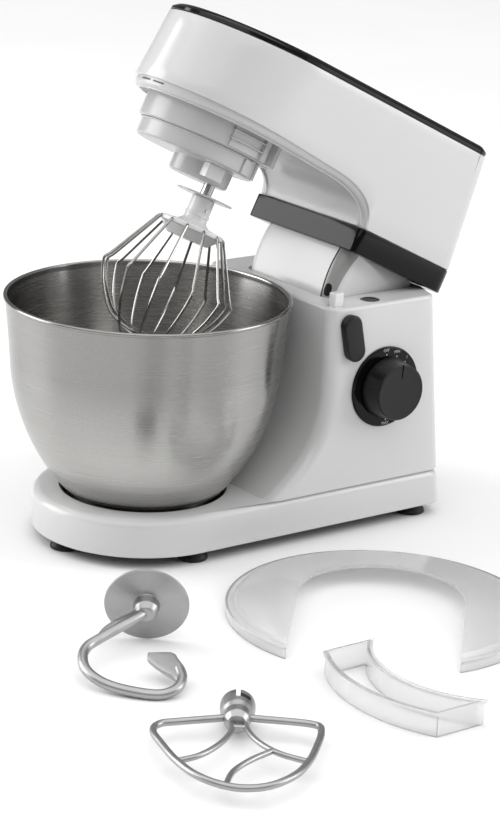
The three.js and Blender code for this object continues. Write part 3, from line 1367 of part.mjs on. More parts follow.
// The head's group turns about the hinge pin.
function raisedHead(parts) {
  const inner = new THREE.Group();
  inner.add(...parts);
  inner.position.set(-HINGE_X, 0, -HINGE_Z);
  const outer = new THREE.Group();
  outer.add(inner);
  outer.position.set(HINGE_X, 0, HINGE_Z);
  outer.rotation.y = RAISED_ANGLE * RAD;
  return outer;
}

const mixer = new THREE.Group();
mixer.add(...rootParts(), raisedHead(headParts()), ...looseParts());
mixer.updateMatrixWorld(true);
const middle = new THREE.Box3().setFromObject(mixer, true).getCenter(new THREE.Vector3());
mixer.position.set(-middle.x, -middle.y, 0);

export default mixer;
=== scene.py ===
"""Tilt-head stand mixer with its bowl, whisk, loose tools and splash guard.

Shapes are worked out in millimetres about the bowl's axis on the table, with +X towards the column,
-Y towards the speed knob and +Z up. Pieces of the head are drawn with the head closed
and turned up about the hinge pin.
"""

from __future__ import annotations

import logging
import math
from dataclasses import dataclass, field
from enum import Enum
from typing import Callable, ClassVar, Sequence

import bpy
import bmesh
import numpy as np
from mathutils import Matrix, Vector

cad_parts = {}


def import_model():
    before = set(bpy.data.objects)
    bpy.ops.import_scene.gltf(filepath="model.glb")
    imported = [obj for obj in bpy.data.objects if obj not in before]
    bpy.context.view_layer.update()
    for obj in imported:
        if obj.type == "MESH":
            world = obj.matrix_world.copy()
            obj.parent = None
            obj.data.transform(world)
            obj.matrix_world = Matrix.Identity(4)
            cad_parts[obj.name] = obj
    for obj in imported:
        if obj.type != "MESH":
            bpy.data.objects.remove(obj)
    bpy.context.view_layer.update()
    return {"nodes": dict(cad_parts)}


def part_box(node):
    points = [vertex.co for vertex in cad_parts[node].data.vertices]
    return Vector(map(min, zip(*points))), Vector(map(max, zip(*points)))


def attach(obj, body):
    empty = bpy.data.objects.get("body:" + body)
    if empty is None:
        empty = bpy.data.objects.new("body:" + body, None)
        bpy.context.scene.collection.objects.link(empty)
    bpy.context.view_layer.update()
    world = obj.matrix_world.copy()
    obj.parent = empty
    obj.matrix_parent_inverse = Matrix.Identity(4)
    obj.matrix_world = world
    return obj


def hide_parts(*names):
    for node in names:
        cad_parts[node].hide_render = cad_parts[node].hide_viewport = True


log = logging.getLogger("mixer")

Array = np.ndarray
Pair = tuple[float, float]
Triple = tuple[float, float, float]
Height = Callable[[Array], Array]  # a line's height at each place along X
Layout = Callable[[Array], Array]  # a grid laid where its tool is
Piece = bpy.types.Object
Mesh = bpy.types.Mesh
Material = bpy.types.Material
Socket = bpy.types.NodeSocket

MM = 0.001
FULL_TURN = 2 * math.pi
SHARP_ANGLE = math.radians(32)  # an edge that turns by more stays sharp
CARVED_MERGE = 2e-6  # metres
LETTER_MERGE = 1e-6  # metres


# ---- places


class Stance(Enum):
    """How a piece stands: on the table, or turned up with the head."""

    TABLE = "table"
    HEAD = "head"


class Body(Enum):
    """What a piece rides on."""

    BASE = "base"
    HEAD = "head"
    CARRIER = "carrier"
    TOOL = "tool"
    BOWL = "bowl"
    LATCH = "latch"
    KNOB = "knob"
    LEVER = "lever"
    HOOK = "dough_hook"
    BEATER = "flat_beater"
    GUARD = "splash_guard"
    CHUTE = "pouring_chute"


@dataclass
class Frame:
    """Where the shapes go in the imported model's frame.

    Args:
        bowl_axis: the bowl's axis in metres, x and y.
        hinge: the hinge pin's axis in millimetres from the bowl's axis, x and z.
        raised: how far the head is turned up, in radians.
    """

    bowl_axis: Pair
    hinge: Pair
    raised: float = math.radians(26.3)

    @classmethod
    def from_pack(cls) -> Frame:
        """Reads the bowl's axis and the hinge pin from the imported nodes.

        Returns:
            The frame.
        """
        low, high = (np.array(corner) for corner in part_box("bowl"))
        axis = (low + high) / 2
        pin = sum(np.array(corner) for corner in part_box("hinge_pin")) / 2
        return cls((axis[0], axis[1]), ((pin[0] - axis[0]) / MM, pin[2] / MM))

    def place(self, points: Array, stance: Stance) -> Array:
        """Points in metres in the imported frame. The head's turn about the pin is
        x' = px + dx cos a + dz sin a and z' = pz - dx sin a + dz cos a.

        Args:
            points: an (n, 3) array in millimetres.
            stance: how the piece stands.

        Returns:
            An (n, 3) array in metres.
        """
        out = np.array(points, dtype=float).reshape(-1, 3)
        if stance is Stance.HEAD:
            dx, dz = out[:, 0] - self.hinge[0], out[:, 2] - self.hinge[1]
            sin, cos = math.sin(self.raised), math.cos(self.raised)
            out[:, 0] = self.hinge[0] + dx * cos + dz * sin
            out[:, 2] = self.hinge[1] - dx * sin + dz * cos
        out *= MM
        out[:, 0] += self.bowl_axis[0]
        out[:, 1] += self.bowl_axis[1]
        return out


# ---- meshes


class Patchwork:
    """Grids gathered into one mesh, in millimetres."""

    def __init__(self) -> None:
        """Starts with no surface."""
        self.points: list[Array] = []
        self.faces: list[Array] = []

    def grid(self, points: Array, wrap_u: bool = False, wrap_v: bool = True, flip: bool = False) -> Patchwork:
        """Adds quads between the neighbours of a grid.

        Args:
            points: an (n, m, 3) array.
            wrap_u: joins the last row to the first.
            wrap_v: joins the last column to the first, or leaves them apart.
            flip: turns the faces round.

        Returns:
            The patchwork itself.
        """
        n, m = points.shape[:2]
        ids = np.arange(n * m).reshape(n, m) + sum(map(len, self.points))
        if wrap_u:
            ids = np.vstack([ids, ids[:1]])
        if wrap_v:
            ids = np.hstack([ids, ids[:, :1]])
        quads = np.stack([ids[:-1, :-1], ids[1:, :-1], ids[1:, 1:], ids[:-1, 1:]], axis=-1).reshape(-1, 4)
        self.faces.append(quads[:, ::-1] if flip else quads)
        self.points.append(points.reshape(-1, 3))
        return self

    def build(self, name: str, stance: Stance, frame: Frame, merge: float = 0.01) -> Piece:
        """Makes the object, with its doubles merged and its faces turned outwards.

        Args:
            name: the object's name.
            stance: how the piece stands.
            frame: where shapes go.
            merge: how close, in millimetres, points are before they become one.

        Returns:
            The new object, linked to the scene.
        """
        points = frame.place(np.vstack(self.points), stance)
        quads = np.vstack(self.faces)
        mesh = bpy.data.meshes.new(name)
        mesh.vertices.add(len(points))
        mesh.vertices.foreach_set("co", points.astype(np.float32).ravel())
        mesh.loops.add(quads.size)
        mesh.loops.foreach_set("vertex_index", quads.astype(np.int32).ravel())
        mesh.polygons.add(len(quads))
        mesh.polygons.foreach_set("loop_start", np.arange(0, quads.size, 4, dtype=np.int32))
        mesh.update(calc_edges=True)
        tidy(mesh, merge * MM)
        return linked(bpy.data.objects.new(name, mesh))


def linked(obj: Piece) -> Piece:
    """The object, linked to the scene."""
    bpy.context.scene.collection.objects.link(obj)
    return obj


def tidy(mesh: Mesh, merge: float) -> None:
    """Merges doubles, drops slivers, turns faces outwards and shades smooth but for sharp edges.

    Args:
        mesh: the mesh to tidy.
        merge: the merging distance in metres.
    """
    bm = bmesh.new()
    bm.from_mesh(mesh)
    bmesh.ops.remove_doubles(bm, verts=bm.verts, dist=merge)
    bmesh.ops.dissolve_degenerate(bm, edges=bm.edges, dist=merge / 4)
    bmesh.ops.recalc_face_normals(bm, faces=bm.faces)
    bm.to_mesh(mesh)
    bm.free()
    mesh.polygons.foreach_set("use_smooth", np.ones(len(mesh.polygons), dtype=bool))
    mesh.edges.foreach_set("use_edge_sharp", sharp_edges(mesh))


def sharp_edges(mesh: Mesh) -> Array:
    """Which edges are sharp: those between two faces with n1 . n2 < cos(the sharp angle).

    Args:
        mesh: the mesh.

    Returns:
        A flag for each edge.
    """
    sizes = np.empty(len(mesh.polygons), dtype=np.int32)
    normals = np.empty(len(mesh.polygons) * 3, dtype=np.float32)
    edges = np.empty(len(mesh.loops), dtype=np.int32)
    mesh.polygons.foreach_get("loop_total", sizes)
    mesh.polygons.foreach_get("normal", normals)
    mesh.loops.foreach_get("edge_index", edges)
    faces = np.repeat(np.arange(len(sizes)), sizes)[np.argsort(edges, kind="stable")]
    count = np.bincount(edges, minlength=len(mesh.edges))
    shared = np.flatnonzero(count == 2)
    first = (np.cumsum(count) - count)[shared]
    normals = normals.reshape(-1, 3).astype(float)
    dots = (normals[faces[first]] * normals[faces[first + 1]]).sum(axis=1)
    flags = np.zeros(len(count), dtype=bool)
    flags[shared] = dots < math.cos(SHARP_ANGLE)
    return flags


def evaluated(obj: Piece) -> Mesh:
    """A new mesh of the object as its modifiers or its curve leave it."""
    return bpy.data.meshes.new_from_object(obj.evaluated_get(bpy.context.evaluated_depsgraph_get()))


def carve(obj: Piece, cutters: Sequence[Piece]) -> None:
    """Cuts each cutter out of the object, then removes the cutter.

    Args:
        obj: the object to cut.
        cutters: closed objects to take away.
    """
    for cutter in cutters:
        modifier = obj.modifiers.new("cut", "BOOLEAN")
        modifier.operation = "DIFFERENCE"
        modifier.solver = "EXACT"
        modifier.object = cutter
    mesh = evaluated(obj)
    obj.modifiers.clear()
    old, obj.data = obj.data, mesh
    bpy.data.meshes.remove(old)
    for cutter in cutters:
        bpy.data.objects.remove(cutter)
    tidy(obj.data, CARVED_MERGE)


def mesh_points(mesh: Mesh) -> Array:
    """The mesh's vertices as an (n, 3) array in metres.

    Args:
        mesh: the mesh.

    Returns:
        The array.
    """
    points = np.empty(len(mesh.vertices) * 3, dtype=np.float32)
    mesh.vertices.foreach_get("co", points)
    return points.reshape(-1, 3)


# ---- profiles and surfaces


def rounded(corners: Sequence[Triple], steps: int = 5) -> Array:
    """A polyline with its corners rounded. Each corner with radius r is replaced by
    the arc that touches both of its sides, which starts r / tan(half the corner's angle) away.

    Args:
        corners: (x, y, radius) for each corner.
        steps: faces in each arc.

    Returns:
        An (n, 2) array.
    """
    longest = 0.48  # the share of a side that one arc may take
    pts = np.array([(x, y) for x, y, _ in corners], dtype=float)
    out = []
    for i, (_, _, radius) in enumerate(corners):
        here = pts[i]
        if radius <= 0 or i in (0, len(corners) - 1):
            out.append(here[None])
            continue
        a, b = pts[i - 1] - here, pts[i + 1] - here
        la, lb = np.linalg.norm(a), np.linalg.norm(b)
        a, b = a / la, b / lb
        half = math.acos(float(np.clip(a @ b, -1, 1))) / 2
        reach = min(radius / math.tan(half), longest * la, longest * lb)
        true = reach * math.tan(half)
        middle = here + (a + b) / np.linalg.norm(a + b) * true / math.sin(half)
        start, end = here + a * reach - middle, here + b * reach - middle
        turn = np.linspace(0, 1, steps + 1)[:, None]
        sweep = math.pi - 2 * half
        arc = (np.sin((1 - turn) * sweep) * start + np.sin(turn * sweep) * end) / math.sin(sweep)
        out.append(middle + arc)
    return np.vstack(out)


def turned(profile: Array, segments: int = 96, centre: Sequence[float] = (0, 0)) -> Array:
    """The grid of a profile turned about an upright axis: x = r cos t, y = r sin t.

    Args:
        profile: an (n, 2) array of radius and height.
        segments: columns round the axis.
        centre: the axis, x and y.

    Returns:
        An (n, segments, 3) array that wraps in its columns.
    """
    angle = np.linspace(0, FULL_TURN, segments, endpoint=False)
    radius, height = profile[:, :1], profile[:, 1:2]
    x = centre[0] + radius * np.cos(angle)
    y = centre[1] + radius * np.sin(angle)
    return np.stack([x, y, np.broadcast_to(height, x.shape)], axis=-1)


def swung(grid: Array, turn: float) -> Array:
    """A grid turned about the upright axis: x' = x cos a - y sin a and y' = x sin a + y cos a.

    Args:
        grid: an (..., 3) array.
        turn: in degrees.

    Returns:
        An (..., 3) array.
    """
    cos, sin = math.cos(math.radians(turn)), math.sin(math.radians(turn))
    x, y, z = np.moveaxis(grid, -1, 0)
    return np.stack([x * cos - y * sin, x * sin + y * cos, z], axis=-1)


def ended(grid: Array) -> Array:
    """A grid with its first and last rows drawn in to their middles, which closes both ends."""
    first, last = (np.repeat(row.mean(0)[None, None], grid.shape[1], axis=1) for row in (grid[0], grid[-1]))
    return np.concatenate([first, grid, last])


def smooth_path(points: Sequence[Sequence[float]], steps: int) -> Array:
    """A centripetal Catmull-Rom curve: on each span the cubic blend of its four nearest points,
    with knots spaced by the square root of the distance.

    Args:
        points: the points to pass.
        steps: samples on each span.

    Returns:
        An (n, d) array.
    """
    p = np.array(points, dtype=float)
    p = np.vstack([2 * p[0] - p[1], p, 2 * p[-1] - p[-2]])
    knot = np.concatenate([[0], np.cumsum(np.sqrt(np.linalg.norm(np.diff(p, axis=0), axis=1)))])
    count = len(p) - 3
    k0, k1, k2, k3 = (knot[i : count + i, None, None] for i in range(4))
    a, b, c, d = (p[i : count + i, None] for i in range(4))
    t = k1 + (k2 - k1) * np.linspace(0, 1, steps, endpoint=False)[None, :, None]
    ab = ((k1 - t) * a + (t - k0) * b) / (k1 - k0)
    bc = ((k2 - t) * b + (t - k1) * c) / (k2 - k1)
    cd = ((k3 - t) * c + (t - k2) * d) / (k3 - k2)
    abc = ((k2 - t) * ab + (t - k0) * bc) / (k2 - k0)
    bcd = ((k3 - t) * bc + (t - k1) * cd) / (k3 - k1)
    curve = ((k2 - t) * abc + (t - k1) * bcd) / (k2 - k1)
    return np.vstack([curve.reshape(-1, p.shape[1]), p[-2]])


def tube(path: Array, radius: float, sides: int = 12) -> Array:
    """The grid of a round section carried along a path that lies in a plane with normal b.
    The section's axes are s = (s0 . b) b + (s0 . (b x t0)) (b x t) and t x s, where t is the path's
    direction and s0 the first axis, so they don't twist. The ends close to points.

    Args:
        path: an (n, 3) array.
        radius: the section's radius.
        sides: columns round the section.

    Returns:
        An (n + 2, sides, 3) array that wraps in its columns.
    """
    nearly_upright = 0.9
    tangent = np.gradient(path, axis=0)
    tangent /= np.linalg.norm(tangent, axis=1, keepdims=True)
    first = np.cross(tangent[0], (0, 0, 1) if abs(tangent[0][2]) < nearly_upright else (1, 0, 0))
    first /= np.linalg.norm(first)
    normal = np.linalg.svd(path - path.mean(0), full_matrices=False)[2][2]
    level = np.cross(normal, tangent)
    across = (first @ normal) * normal + (first @ level[0]) * level
    up = np.cross(tangent, across)
    angle = np.linspace(0, FULL_TURN, sides, endpoint=False)[:, None]
    rings = path[:, None] + radius * (across[:, None] * np.cos(angle) + up[:, None] * np.sin(angle))
    start, end = (np.repeat(point[None, None], sides, axis=1) for point in (path[0], path[-1]))
    return np.concatenate([start, rings, end])


def ribbon(left: Sequence[Pair], right: Sequence[Pair], thick: float, steps: int = 24) -> Array:
    """A flat blade between two rails, with round edges. Each section is a superellipse:
    x = w |cos t|^0.34 and z = thick / 2 |sin t|^0.34, with the signs of cos and sin.

    Args:
        left: the left rail's points, x and y.
        right: the right rail's points.
        thick: the blade's thickness.
        steps: sections.

    Returns:
        A (steps + 2, 20, 3) grid that wraps in its columns.
    """
    power, sides, span_steps = 0.34, 20, 12
    rails = []
    for rail in (left, right):
        path = smooth_path(rail, span_steps)
        far = np.concatenate([[0], np.cumsum(np.linalg.norm(np.diff(path, axis=0), axis=1))])
        at = np.linspace(0, far[-1], steps)
        rails.append(np.column_stack([np.interp(at, far, path[:, i]) for i in range(2)]))
    middle, half = (rails[0] + rails[1]) / 2, (rails[1] - rails[0]) / 2
    t = np.linspace(0, FULL_TURN, sides, endpoint=False)
    c, s = (np.sign(wave) * np.abs(wave) ** power for wave in (np.cos(t), np.sin(t)))
    z = s * thick / 2
    flat = middle[:, None] + half[:, None] * c[:, None]
    return ended(np.concatenate([flat, np.broadcast_to(z[:, None], flat.shape[:2] + (1,))], axis=-1))


@dataclass(frozen=True)
class Plan:
    """A plan outline: an elliptical or round-cornered front, straight sides and a bowed rear.

    Args:
        front: the front's x.
        rear: the rear corners' x.
        half: half the width.
        front_x: the front arc's reach along x.
        front_y: the front arc's reach along y.
        corner: the rear corners' radius.
        bulge: how far the rear wall bows out.
        stations: x values that the side's samples include.
    """

    front: float
    rear: float
    half: float
    front_x: float
    front_y: float
    corner: float = 11
    bulge: float = 0
    stations: tuple[float, ...] = ()

    def bow(self, y: Array | float, inset: float) -> Array | float:
        """The rear wall's x at y: rear + bulge (1 - (y / half)^2)."""
        return self.rear - inset + self.bulge * (1 - (y / (self.half - inset)) ** 2)

    def side_x(self, start: float, end: float) -> Array:
        """The side's samples between its ends, by the stations if there are any.

        Args:
            start: the rear end's x.
            end: the front end's x.

        Returns:
            Their x values.
        """
        if self.stations:
            return np.clip(np.array(self.stations), end + 0.01, start - 0.01)
        return np.linspace(start, end, 14)[1:-1]

    def points(self, inset: float = 0) -> Array:
        """The outline, anticlockwise from the rear's middle, with a fixed number of points.
        Each arc is a quarter ellipse, and the second half mirrors the first.

        Args:
            inset: how far inside the outline.

        Returns:
            An (n, 2) array.
        """
        least = 0.5  # the smallest arc left by an inset
        half, front = self.half - inset, self.front + inset
        fx, fy, corner = (max(size - inset, least) for size in (self.front_x, self.front_y, self.corner))
        flat = half - corner
        y = np.linspace(0, flat, 9)[:-1]
        wall = np.column_stack([self.bow(y, inset), y])
        turn = np.linspace(0, math.pi / 2, 9)
        centre = self.bow(flat, inset) - corner
        bend = np.column_stack([centre + corner * np.cos(turn), flat + corner * np.sin(turn)])
        xs = self.side_x(centre, front + fx)
        side = np.column_stack([xs, np.full(len(xs), half)])
        turn = np.linspace(math.pi / 2, math.pi, 25)
        nose = np.column_stack([front + fx + fx * np.cos(turn), half - fy + fy * np.sin(turn)])
        face = np.column_stack([np.full(5, front), np.linspace(half - fy, 0, 6)[1:]])
        first = np.vstack([wall, bend, side, nose, face])
        return np.vstack([first, first[::-1][1:-1] * (1, -1)])


def loft(rings: Sequence[Array], heights: Sequence[float]) -> Array:
    """The grid of outlines at their heights.

    Args:
        rings: outlines with the same number of points.
        heights: one for each outline.

    Returns:
        An (n, m, 3) array that wraps in its columns.
    """
    return np.stack([np.column_stack([ring, np.full(len(ring), z)]) for ring, z in zip(rings, heights)])


def fillet(radius: float, z: float, steps: int = 6, top: bool = True) -> list[Pair]:
    """(inset, height) pairs round an edge: inset = r (1 - cos t) and height = z - r (1 - sin t).

    Args:
        radius: the edge's radius.
        z: the height of the flat past the edge.
        steps: faces in the arc.
        top: the edge is at the top, so the pairs run up and in.

    Returns:
        The pairs, upwards.
    """
    t = np.linspace(0, math.pi / 2, steps + 1)
    inset = radius * (1 - np.cos(t))
    drop = radius * (1 - np.sin(t))
    if top:
        return list(zip(inset, z - drop))
    return list(zip(inset[::-1], (z + drop)[::-1]))


def capped(rings: Sequence[Array], heights: Sequence[float]) -> Array:
    """A loft with both ends closed to a point at the outline's middle.

    Args:
        rings: outlines, upwards.
        heights: one for each.

    Returns:
        The grid, which wraps in its columns.
    """
    first, last = (np.repeat(((r.min(0) + r.max(0)) / 2)[None], len(r), axis=0) for r in (rings[0], rings[-1]))
    return loft([first, *rings, last], [heights[0], *heights, heights[-1]])


def edged(plan: Plan, radius: float, z: Pair) -> Array:
    """The grid of an outline between two heights, with round top and bottom edges.

    Args:
        plan: the outline.
        radius: the edges' radius.
        z: bottom and top.

    Returns:
        A grid that wraps in its columns.
    """
    edges = fillet(radius, z[0], 3, top=False) + fillet(radius, z[1], 3)
    return capped([plan.points(inset) for inset, _ in edges], [height for _, height in edges])


def slab(x: Pair, half: float, z: Pair, corner: float, edge: float) -> Array:
    """The grid of a block with round upright corners and round top and bottom edges.

    Args:
        x: its ends along X.
        half: half its width.
        z: its bottom and top.
        corner: the upright corners' radius.
        edge: the level edges' radius.

    Returns:
        A grid that wraps in its columns.
    """
    return edged(Plan(x[0], x[1], half, corner, corner, corner), edge, z)


def segment(radius: Pair, z: Pair, turn: Pair, edge: float = 0.3) -> Array:
    """The grid of a ring's segment with chamfered edges: its section carried round from one angle to another.

    Args:
        radius: inside and outside.
        z: bottom and top.
        turn: start and end, in degrees.
        edge: the chamfer along the outside.

    Returns:
        A grid that wraps in its columns.
    """
    step = 2.5  # degrees between sections
    (r0, r1), (z0, z1) = radius, z
    section = np.array([(r0, z0), (r1 - edge, z0), (r1, z0 + edge), (r1, z1 - edge), (r1 - edge, z1), (r0, z1)])
    steps = max(3, int(abs(turn[1] - turn[0]) / step) + 1)
    angle = np.radians(np.linspace(*turn, steps))[:, None]
    r, height = section[:, 0], np.broadcast_to(section[:, 1], (steps, 6))
    return ended(np.stack([r * np.cos(angle), r * np.sin(angle), height], axis=-1))


# ---- finishes


class Nodes:
    """A small hand for wiring a material's nodes."""

    def __init__(self, name: str) -> None:
        """Starts a material with a Principled shader.

        Args:
            name: the material's name.
        """
        self.material = bpy.data.materials.new(name)
        self.material.use_nodes = True
        self.tree = self.material.node_tree
        self.shader = self.tree.nodes["Principled BSDF"]

    def add(self, kind: str, *wires: tuple[str | int, Socket], **settings: object) -> bpy.types.Node:
        """Adds a node, wires its inputs and sets its properties or its inputs by name, with _ for a space.

        Args:
            kind: the node's type.
            wires: pairs of an input's name or number and the socket that feeds it.
            settings: values by the property's or the input's name.

        Returns:
            The node.
        """
        node = self.tree.nodes.new(kind)
        for key, value in settings.items():
            if hasattr(node, key):
                setattr(node, key, value)
            else:
                node.inputs[key.replace("_", " ")].default_value = value
        for place, source in wires:
            self.tree.links.new(source, node.inputs[place])
        return node

    def feed(self, **sources: Socket) -> None:
        """Wires sockets into the shader by name, with _ for a space."""
        for key, source in sources.items():
            self.tree.links.new(source, self.shader.inputs[key.replace("_", " ")])

    def set(self, **values: object) -> None:
        """Sets sockets of the shader by name, with _ for a space."""
        for key, value in values.items():
            self.shader.inputs[key.replace("_", " ")].default_value = value

    def coords(self) -> Socket:
        """Object coordinates, in metres."""
        return self.add("ShaderNodeTexCoord").outputs["Object"]

    def noise(self, vector: Socket, scale: float, detail: float = 2, rough: float = 0.5) -> Socket:
        """A noise pattern on the given coordinates.

        Args:
            vector: the coordinates.
            scale: how fine the pattern is, per metre.
            detail: how many finer layers it has.
            rough: how strong each finer layer is.

        Returns:
            Its factor.
        """
        node = self.add("ShaderNodeTexNoise", ("Vector", vector), Scale=scale, Detail=detail, Roughness=rough)
        return node.outputs["Fac"]

    def span(self, value: Socket, low: float, high: float, start: float = 0.3, end: float = 0.7) -> Socket:
        """Maps a factor between start and end to a value between low and high.

        Args:
            value: the factor.
            low: the value at start.
            high: the value at end.
            start: where the factor begins to count.
            end: where it stops.

        Returns:
            The value.
        """
        node = self.add("ShaderNodeMapRange", ("Value", value), From_Min=start, From_Max=end, To_Min=low, To_Max=high)
        return node.outputs["Result"]

    def blend(self, factor: Socket, a: Sequence[float], b: Sequence[float]) -> Socket:
        """A colour between two.

        Args:
            factor: 0 for the first and 1 for the second.
            a: the first colour.
            b: the second colour.

        Returns:
            The colour.
        """
        node = self.add("ShaderNodeMix", data_type="RGBA")
        node.inputs[6].default_value = (*a, 1)
        node.inputs[7].default_value = (*b, 1)
        self.tree.links.new(factor, node.inputs[0])
        return node.outputs[2]

    def bump(self, height: Socket, depth: float) -> None:
        """Bumps the shader by a height pattern, with its depth in millimetres."""
        node = self.add("ShaderNodeBump", ("Height", height), Strength=1.0, Distance=depth * MM)
        self.feed(Normal=node.outputs["Normal"])


def shade(colour: Sequence[float], factor: float) -> Triple:
    """A colour made lighter or darker by a factor."""
    return tuple(min(1.0, c * factor) for c in colour)  # type: ignore[return-value]


def grey(level: float) -> Triple:
    """A neutral colour."""
    return level, level, level


@dataclass(frozen=True)
class Plastic:
    """Moulded plastic with a faint flow mottle and a fine skin.

    Args:
        name: the material's name.
        colour: linear base colour.
        roughness: of the skin.
        grain: the skin's bump in millimetres.
        grain_scale: how fine the bump is, per metre.
        gloss: how strongly it mirrors, 0.5 for plain plastic.
        mottle: how much darker the mottle's dark patches are, as a factor.
        refraction: the index of refraction.
    """

    name: str
    colour: Triple
    roughness: float = 0.3
    grain: float = 0.01
    grain_scale: float = 900
    gloss: float = 0.5
    mottle: float = 0.985
    refraction: float = 1.5

    def material(self) -> Material:
        """The finish as a node material: a mottle in the colour, wear in the roughness and a bumped skin.

        Returns:
            The material.
        """
        n = Nodes(self.name)
        place = n.coords()
        patches = n.span(n.noise(place, 9, 3), 0, 1)
        wear = n.span(n.noise(place, 60, 4, 0.6), self.roughness * 0.88, self.roughness * 1.15)
        n.feed(Base_Color=n.blend(patches, shade(self.colour, self.mottle), self.colour), Roughness=wear)
        if self.grain > 0:
            n.bump(n.noise(place, self.grain_scale, 2), self.grain)
        n.set(IOR=self.refraction, Specular_IOR_Level=self.gloss)
        return n.material


@dataclass(frozen=True)
class Brushed:
    """Stainless steel brushed round an upright axis: the lines run on height + radius, so they keep their
    spacing down the wall and over the floor. Where the attribute "outside" is 1, a painted reflection lightens the
    tone low down and darkens it towards the rim.

    Args:
        name: the material's name.
        axis: the axis in metres, x and y.
        colour: linear base colour.
        roughness: along the brushing.
        stretch: anisotropy.
        pitch: how many brush lines per metre of height or radius.
        lengthways: how many times a line's tone changes per metre along X and Y.
        bump: the lines' depth in millimetres.
        tones: the outside's painted reflection as a factor on the colour, below and above the reflection_fade.
        reflection_fade: the heights in metres between which the outside's painted reflection changes from light to
            dark.
    """

    name: str
    axis: Pair
    colour: Triple = (0.43, 0.425, 0.415)
    roughness: float = 0.26
    stretch: float = 0.85
    pitch: float = 1300
    lengthways: float = 7
    bump: float = 0.0005
    tones: Pair = (1.08, 0.72)
    reflection_fade: Pair = (0.085, 0.15)

    def lines(self, n: Nodes, x: Socket, y: Socket, z: Socket) -> Socket:
        """The brush lines: a noise on (x, y, z + sqrt(x^2 + y^2)), fine along the last and long along the others.

        Args:
            n: the material's nodes.
            x: the place from the axis along X.
            y: the place from the axis along Y.
            z: the height.

        Returns:
            The pattern's factor.
        """
        level = n.add("ShaderNodeCombineXYZ", ("X", x), ("Y", y)).outputs["Vector"]
        radius = n.add("ShaderNodeVectorMath", (0, level), operation="LENGTH").outputs["Value"]
        along = n.add("ShaderNodeMath", (0, radius), (1, z), operation="ADD").outputs[0]
        wall = n.add("ShaderNodeCombineXYZ", ("X", x), ("Y", y), ("Z", along)).outputs["Vector"]
        scale = (self.lengthways, self.lengthways, self.pitch)
        long = n.add("ShaderNodeMapping", ("Vector", wall), Scale=scale).outputs["Vector"]
        return n.noise(long, 1.0, 2, 0.6)

    def material(self) -> Material:
        """The finish as a node material: the lines in the colour, roughness and bump, times the outside's painted
        reflection.

        Returns:
            The material.
        """
        n = Nodes(self.name)
        shift = (-self.axis[0], -self.axis[1], 0)
        centred = n.add("ShaderNodeMapping", ("Vector", n.coords()), Location=shift).outputs["Vector"]
        x, y, z = n.add("ShaderNodeSeparateXYZ", ("Vector", centred)).outputs
        lines = self.lines(n, x, y, z)
        steel = n.blend(n.span(lines, 0, 1), shade(self.colour, 0.965), shade(self.colour, 1.03))
        # Painted reflection: on the outside, the colour is lighter low down and darker towards the rim.
        outside = n.add("ShaderNodeAttribute", attribute_name="outside").outputs["Fac"]
        height = n.span(z, 0, 1, *self.reflection_fade)
        upper = n.add("ShaderNodeMath", (0, height), (1, outside), operation="MULTIPLY").outputs[0]
        low, high = (grey(tone) for tone in self.tones)
        wires = ((6, steel), (7, n.blend(upper, low, high)))
        tone = n.add("ShaderNodeMix", *wires, data_type="RGBA", blend_type="MULTIPLY")
        tone.inputs[0].default_value = 1.0
        tangent = n.add("ShaderNodeTangent", direction_type="RADIAL", axis="Z").outputs["Tangent"]
        rough = n.span(lines, self.roughness * 0.9, self.roughness * 1.1)
        n.feed(Base_Color=tone.outputs[2], Roughness=rough, Tangent=tangent)
        n.bump(lines, self.bump)
        n.set(Metallic=1.0, Anisotropic=self.stretch, Anisotropic_Rotation=0.25)
        return n.material


@dataclass(frozen=True)
class Metal:
    """Bare metal, polished, turned or cast.

    Args:
        name: the material's name.
        colour: linear base colour.
        roughness: of the surface.
        grain: the skin's bump in millimetres.
        grain_scale: how fine the bump is, per metre.
    """

    name: str
    colour: Triple
    roughness: float = 0.2
    grain: float = 0.01
    grain_scale: float = 1200

    def material(self) -> Material:
        """The finish as a node material: a tone in the colour and a fine grain in the roughness and bump.

        Returns:
            The material.
        """
        n = Nodes(self.name)
        place = n.coords()
        tone = n.span(n.noise(place, 70, 4, 0.6), 0, 1)
        fine = n.noise(place, self.grain_scale, 3, 0.6)
        rough = n.span(fine, self.roughness * 0.8, self.roughness * 1.25)
        n.feed(Base_Color=n.blend(tone, shade(self.colour, 0.93), shade(self.colour, 1.05)), Roughness=rough)
        n.bump(fine, self.grain)
        n.set(Metallic=1.0)
        return n.material


@dataclass(frozen=True)
class Clear:
    """Clear moulded plastic with faint flow marks.

    Args:
        name: the material's name.
        colour: linear tint.
        see_through: how much light passes.
        roughness: of the skin.
        refraction: the index of refraction.
        waves: the flow marks' depth in millimetres.
    """

    name: str
    colour: Triple = (0.96, 0.96, 0.96)
    see_through: float = 0.72
    roughness: float = 0.1
    refraction: float = 1.46
    waves: float = 0.03

    def material(self) -> Material:
        """The finish as a node material: a faint tint, an uneven skin and shallow waves.

        Returns:
            The material.
        """
        n = Nodes(self.name)
        place = n.coords()
        tint = n.blend(n.span(n.noise(place, 14, 2), 0, 1), shade(self.colour, 0.985), self.colour)
        rough = n.span(n.noise(place, 90, 3), self.roughness, self.roughness * 1.8)
        n.feed(Base_Color=tint, Roughness=rough)
        n.bump(n.noise(place, 160, 2), self.waves)
        n.set(Transmission_Weight=self.see_through, IOR=self.refraction)
        return n.material


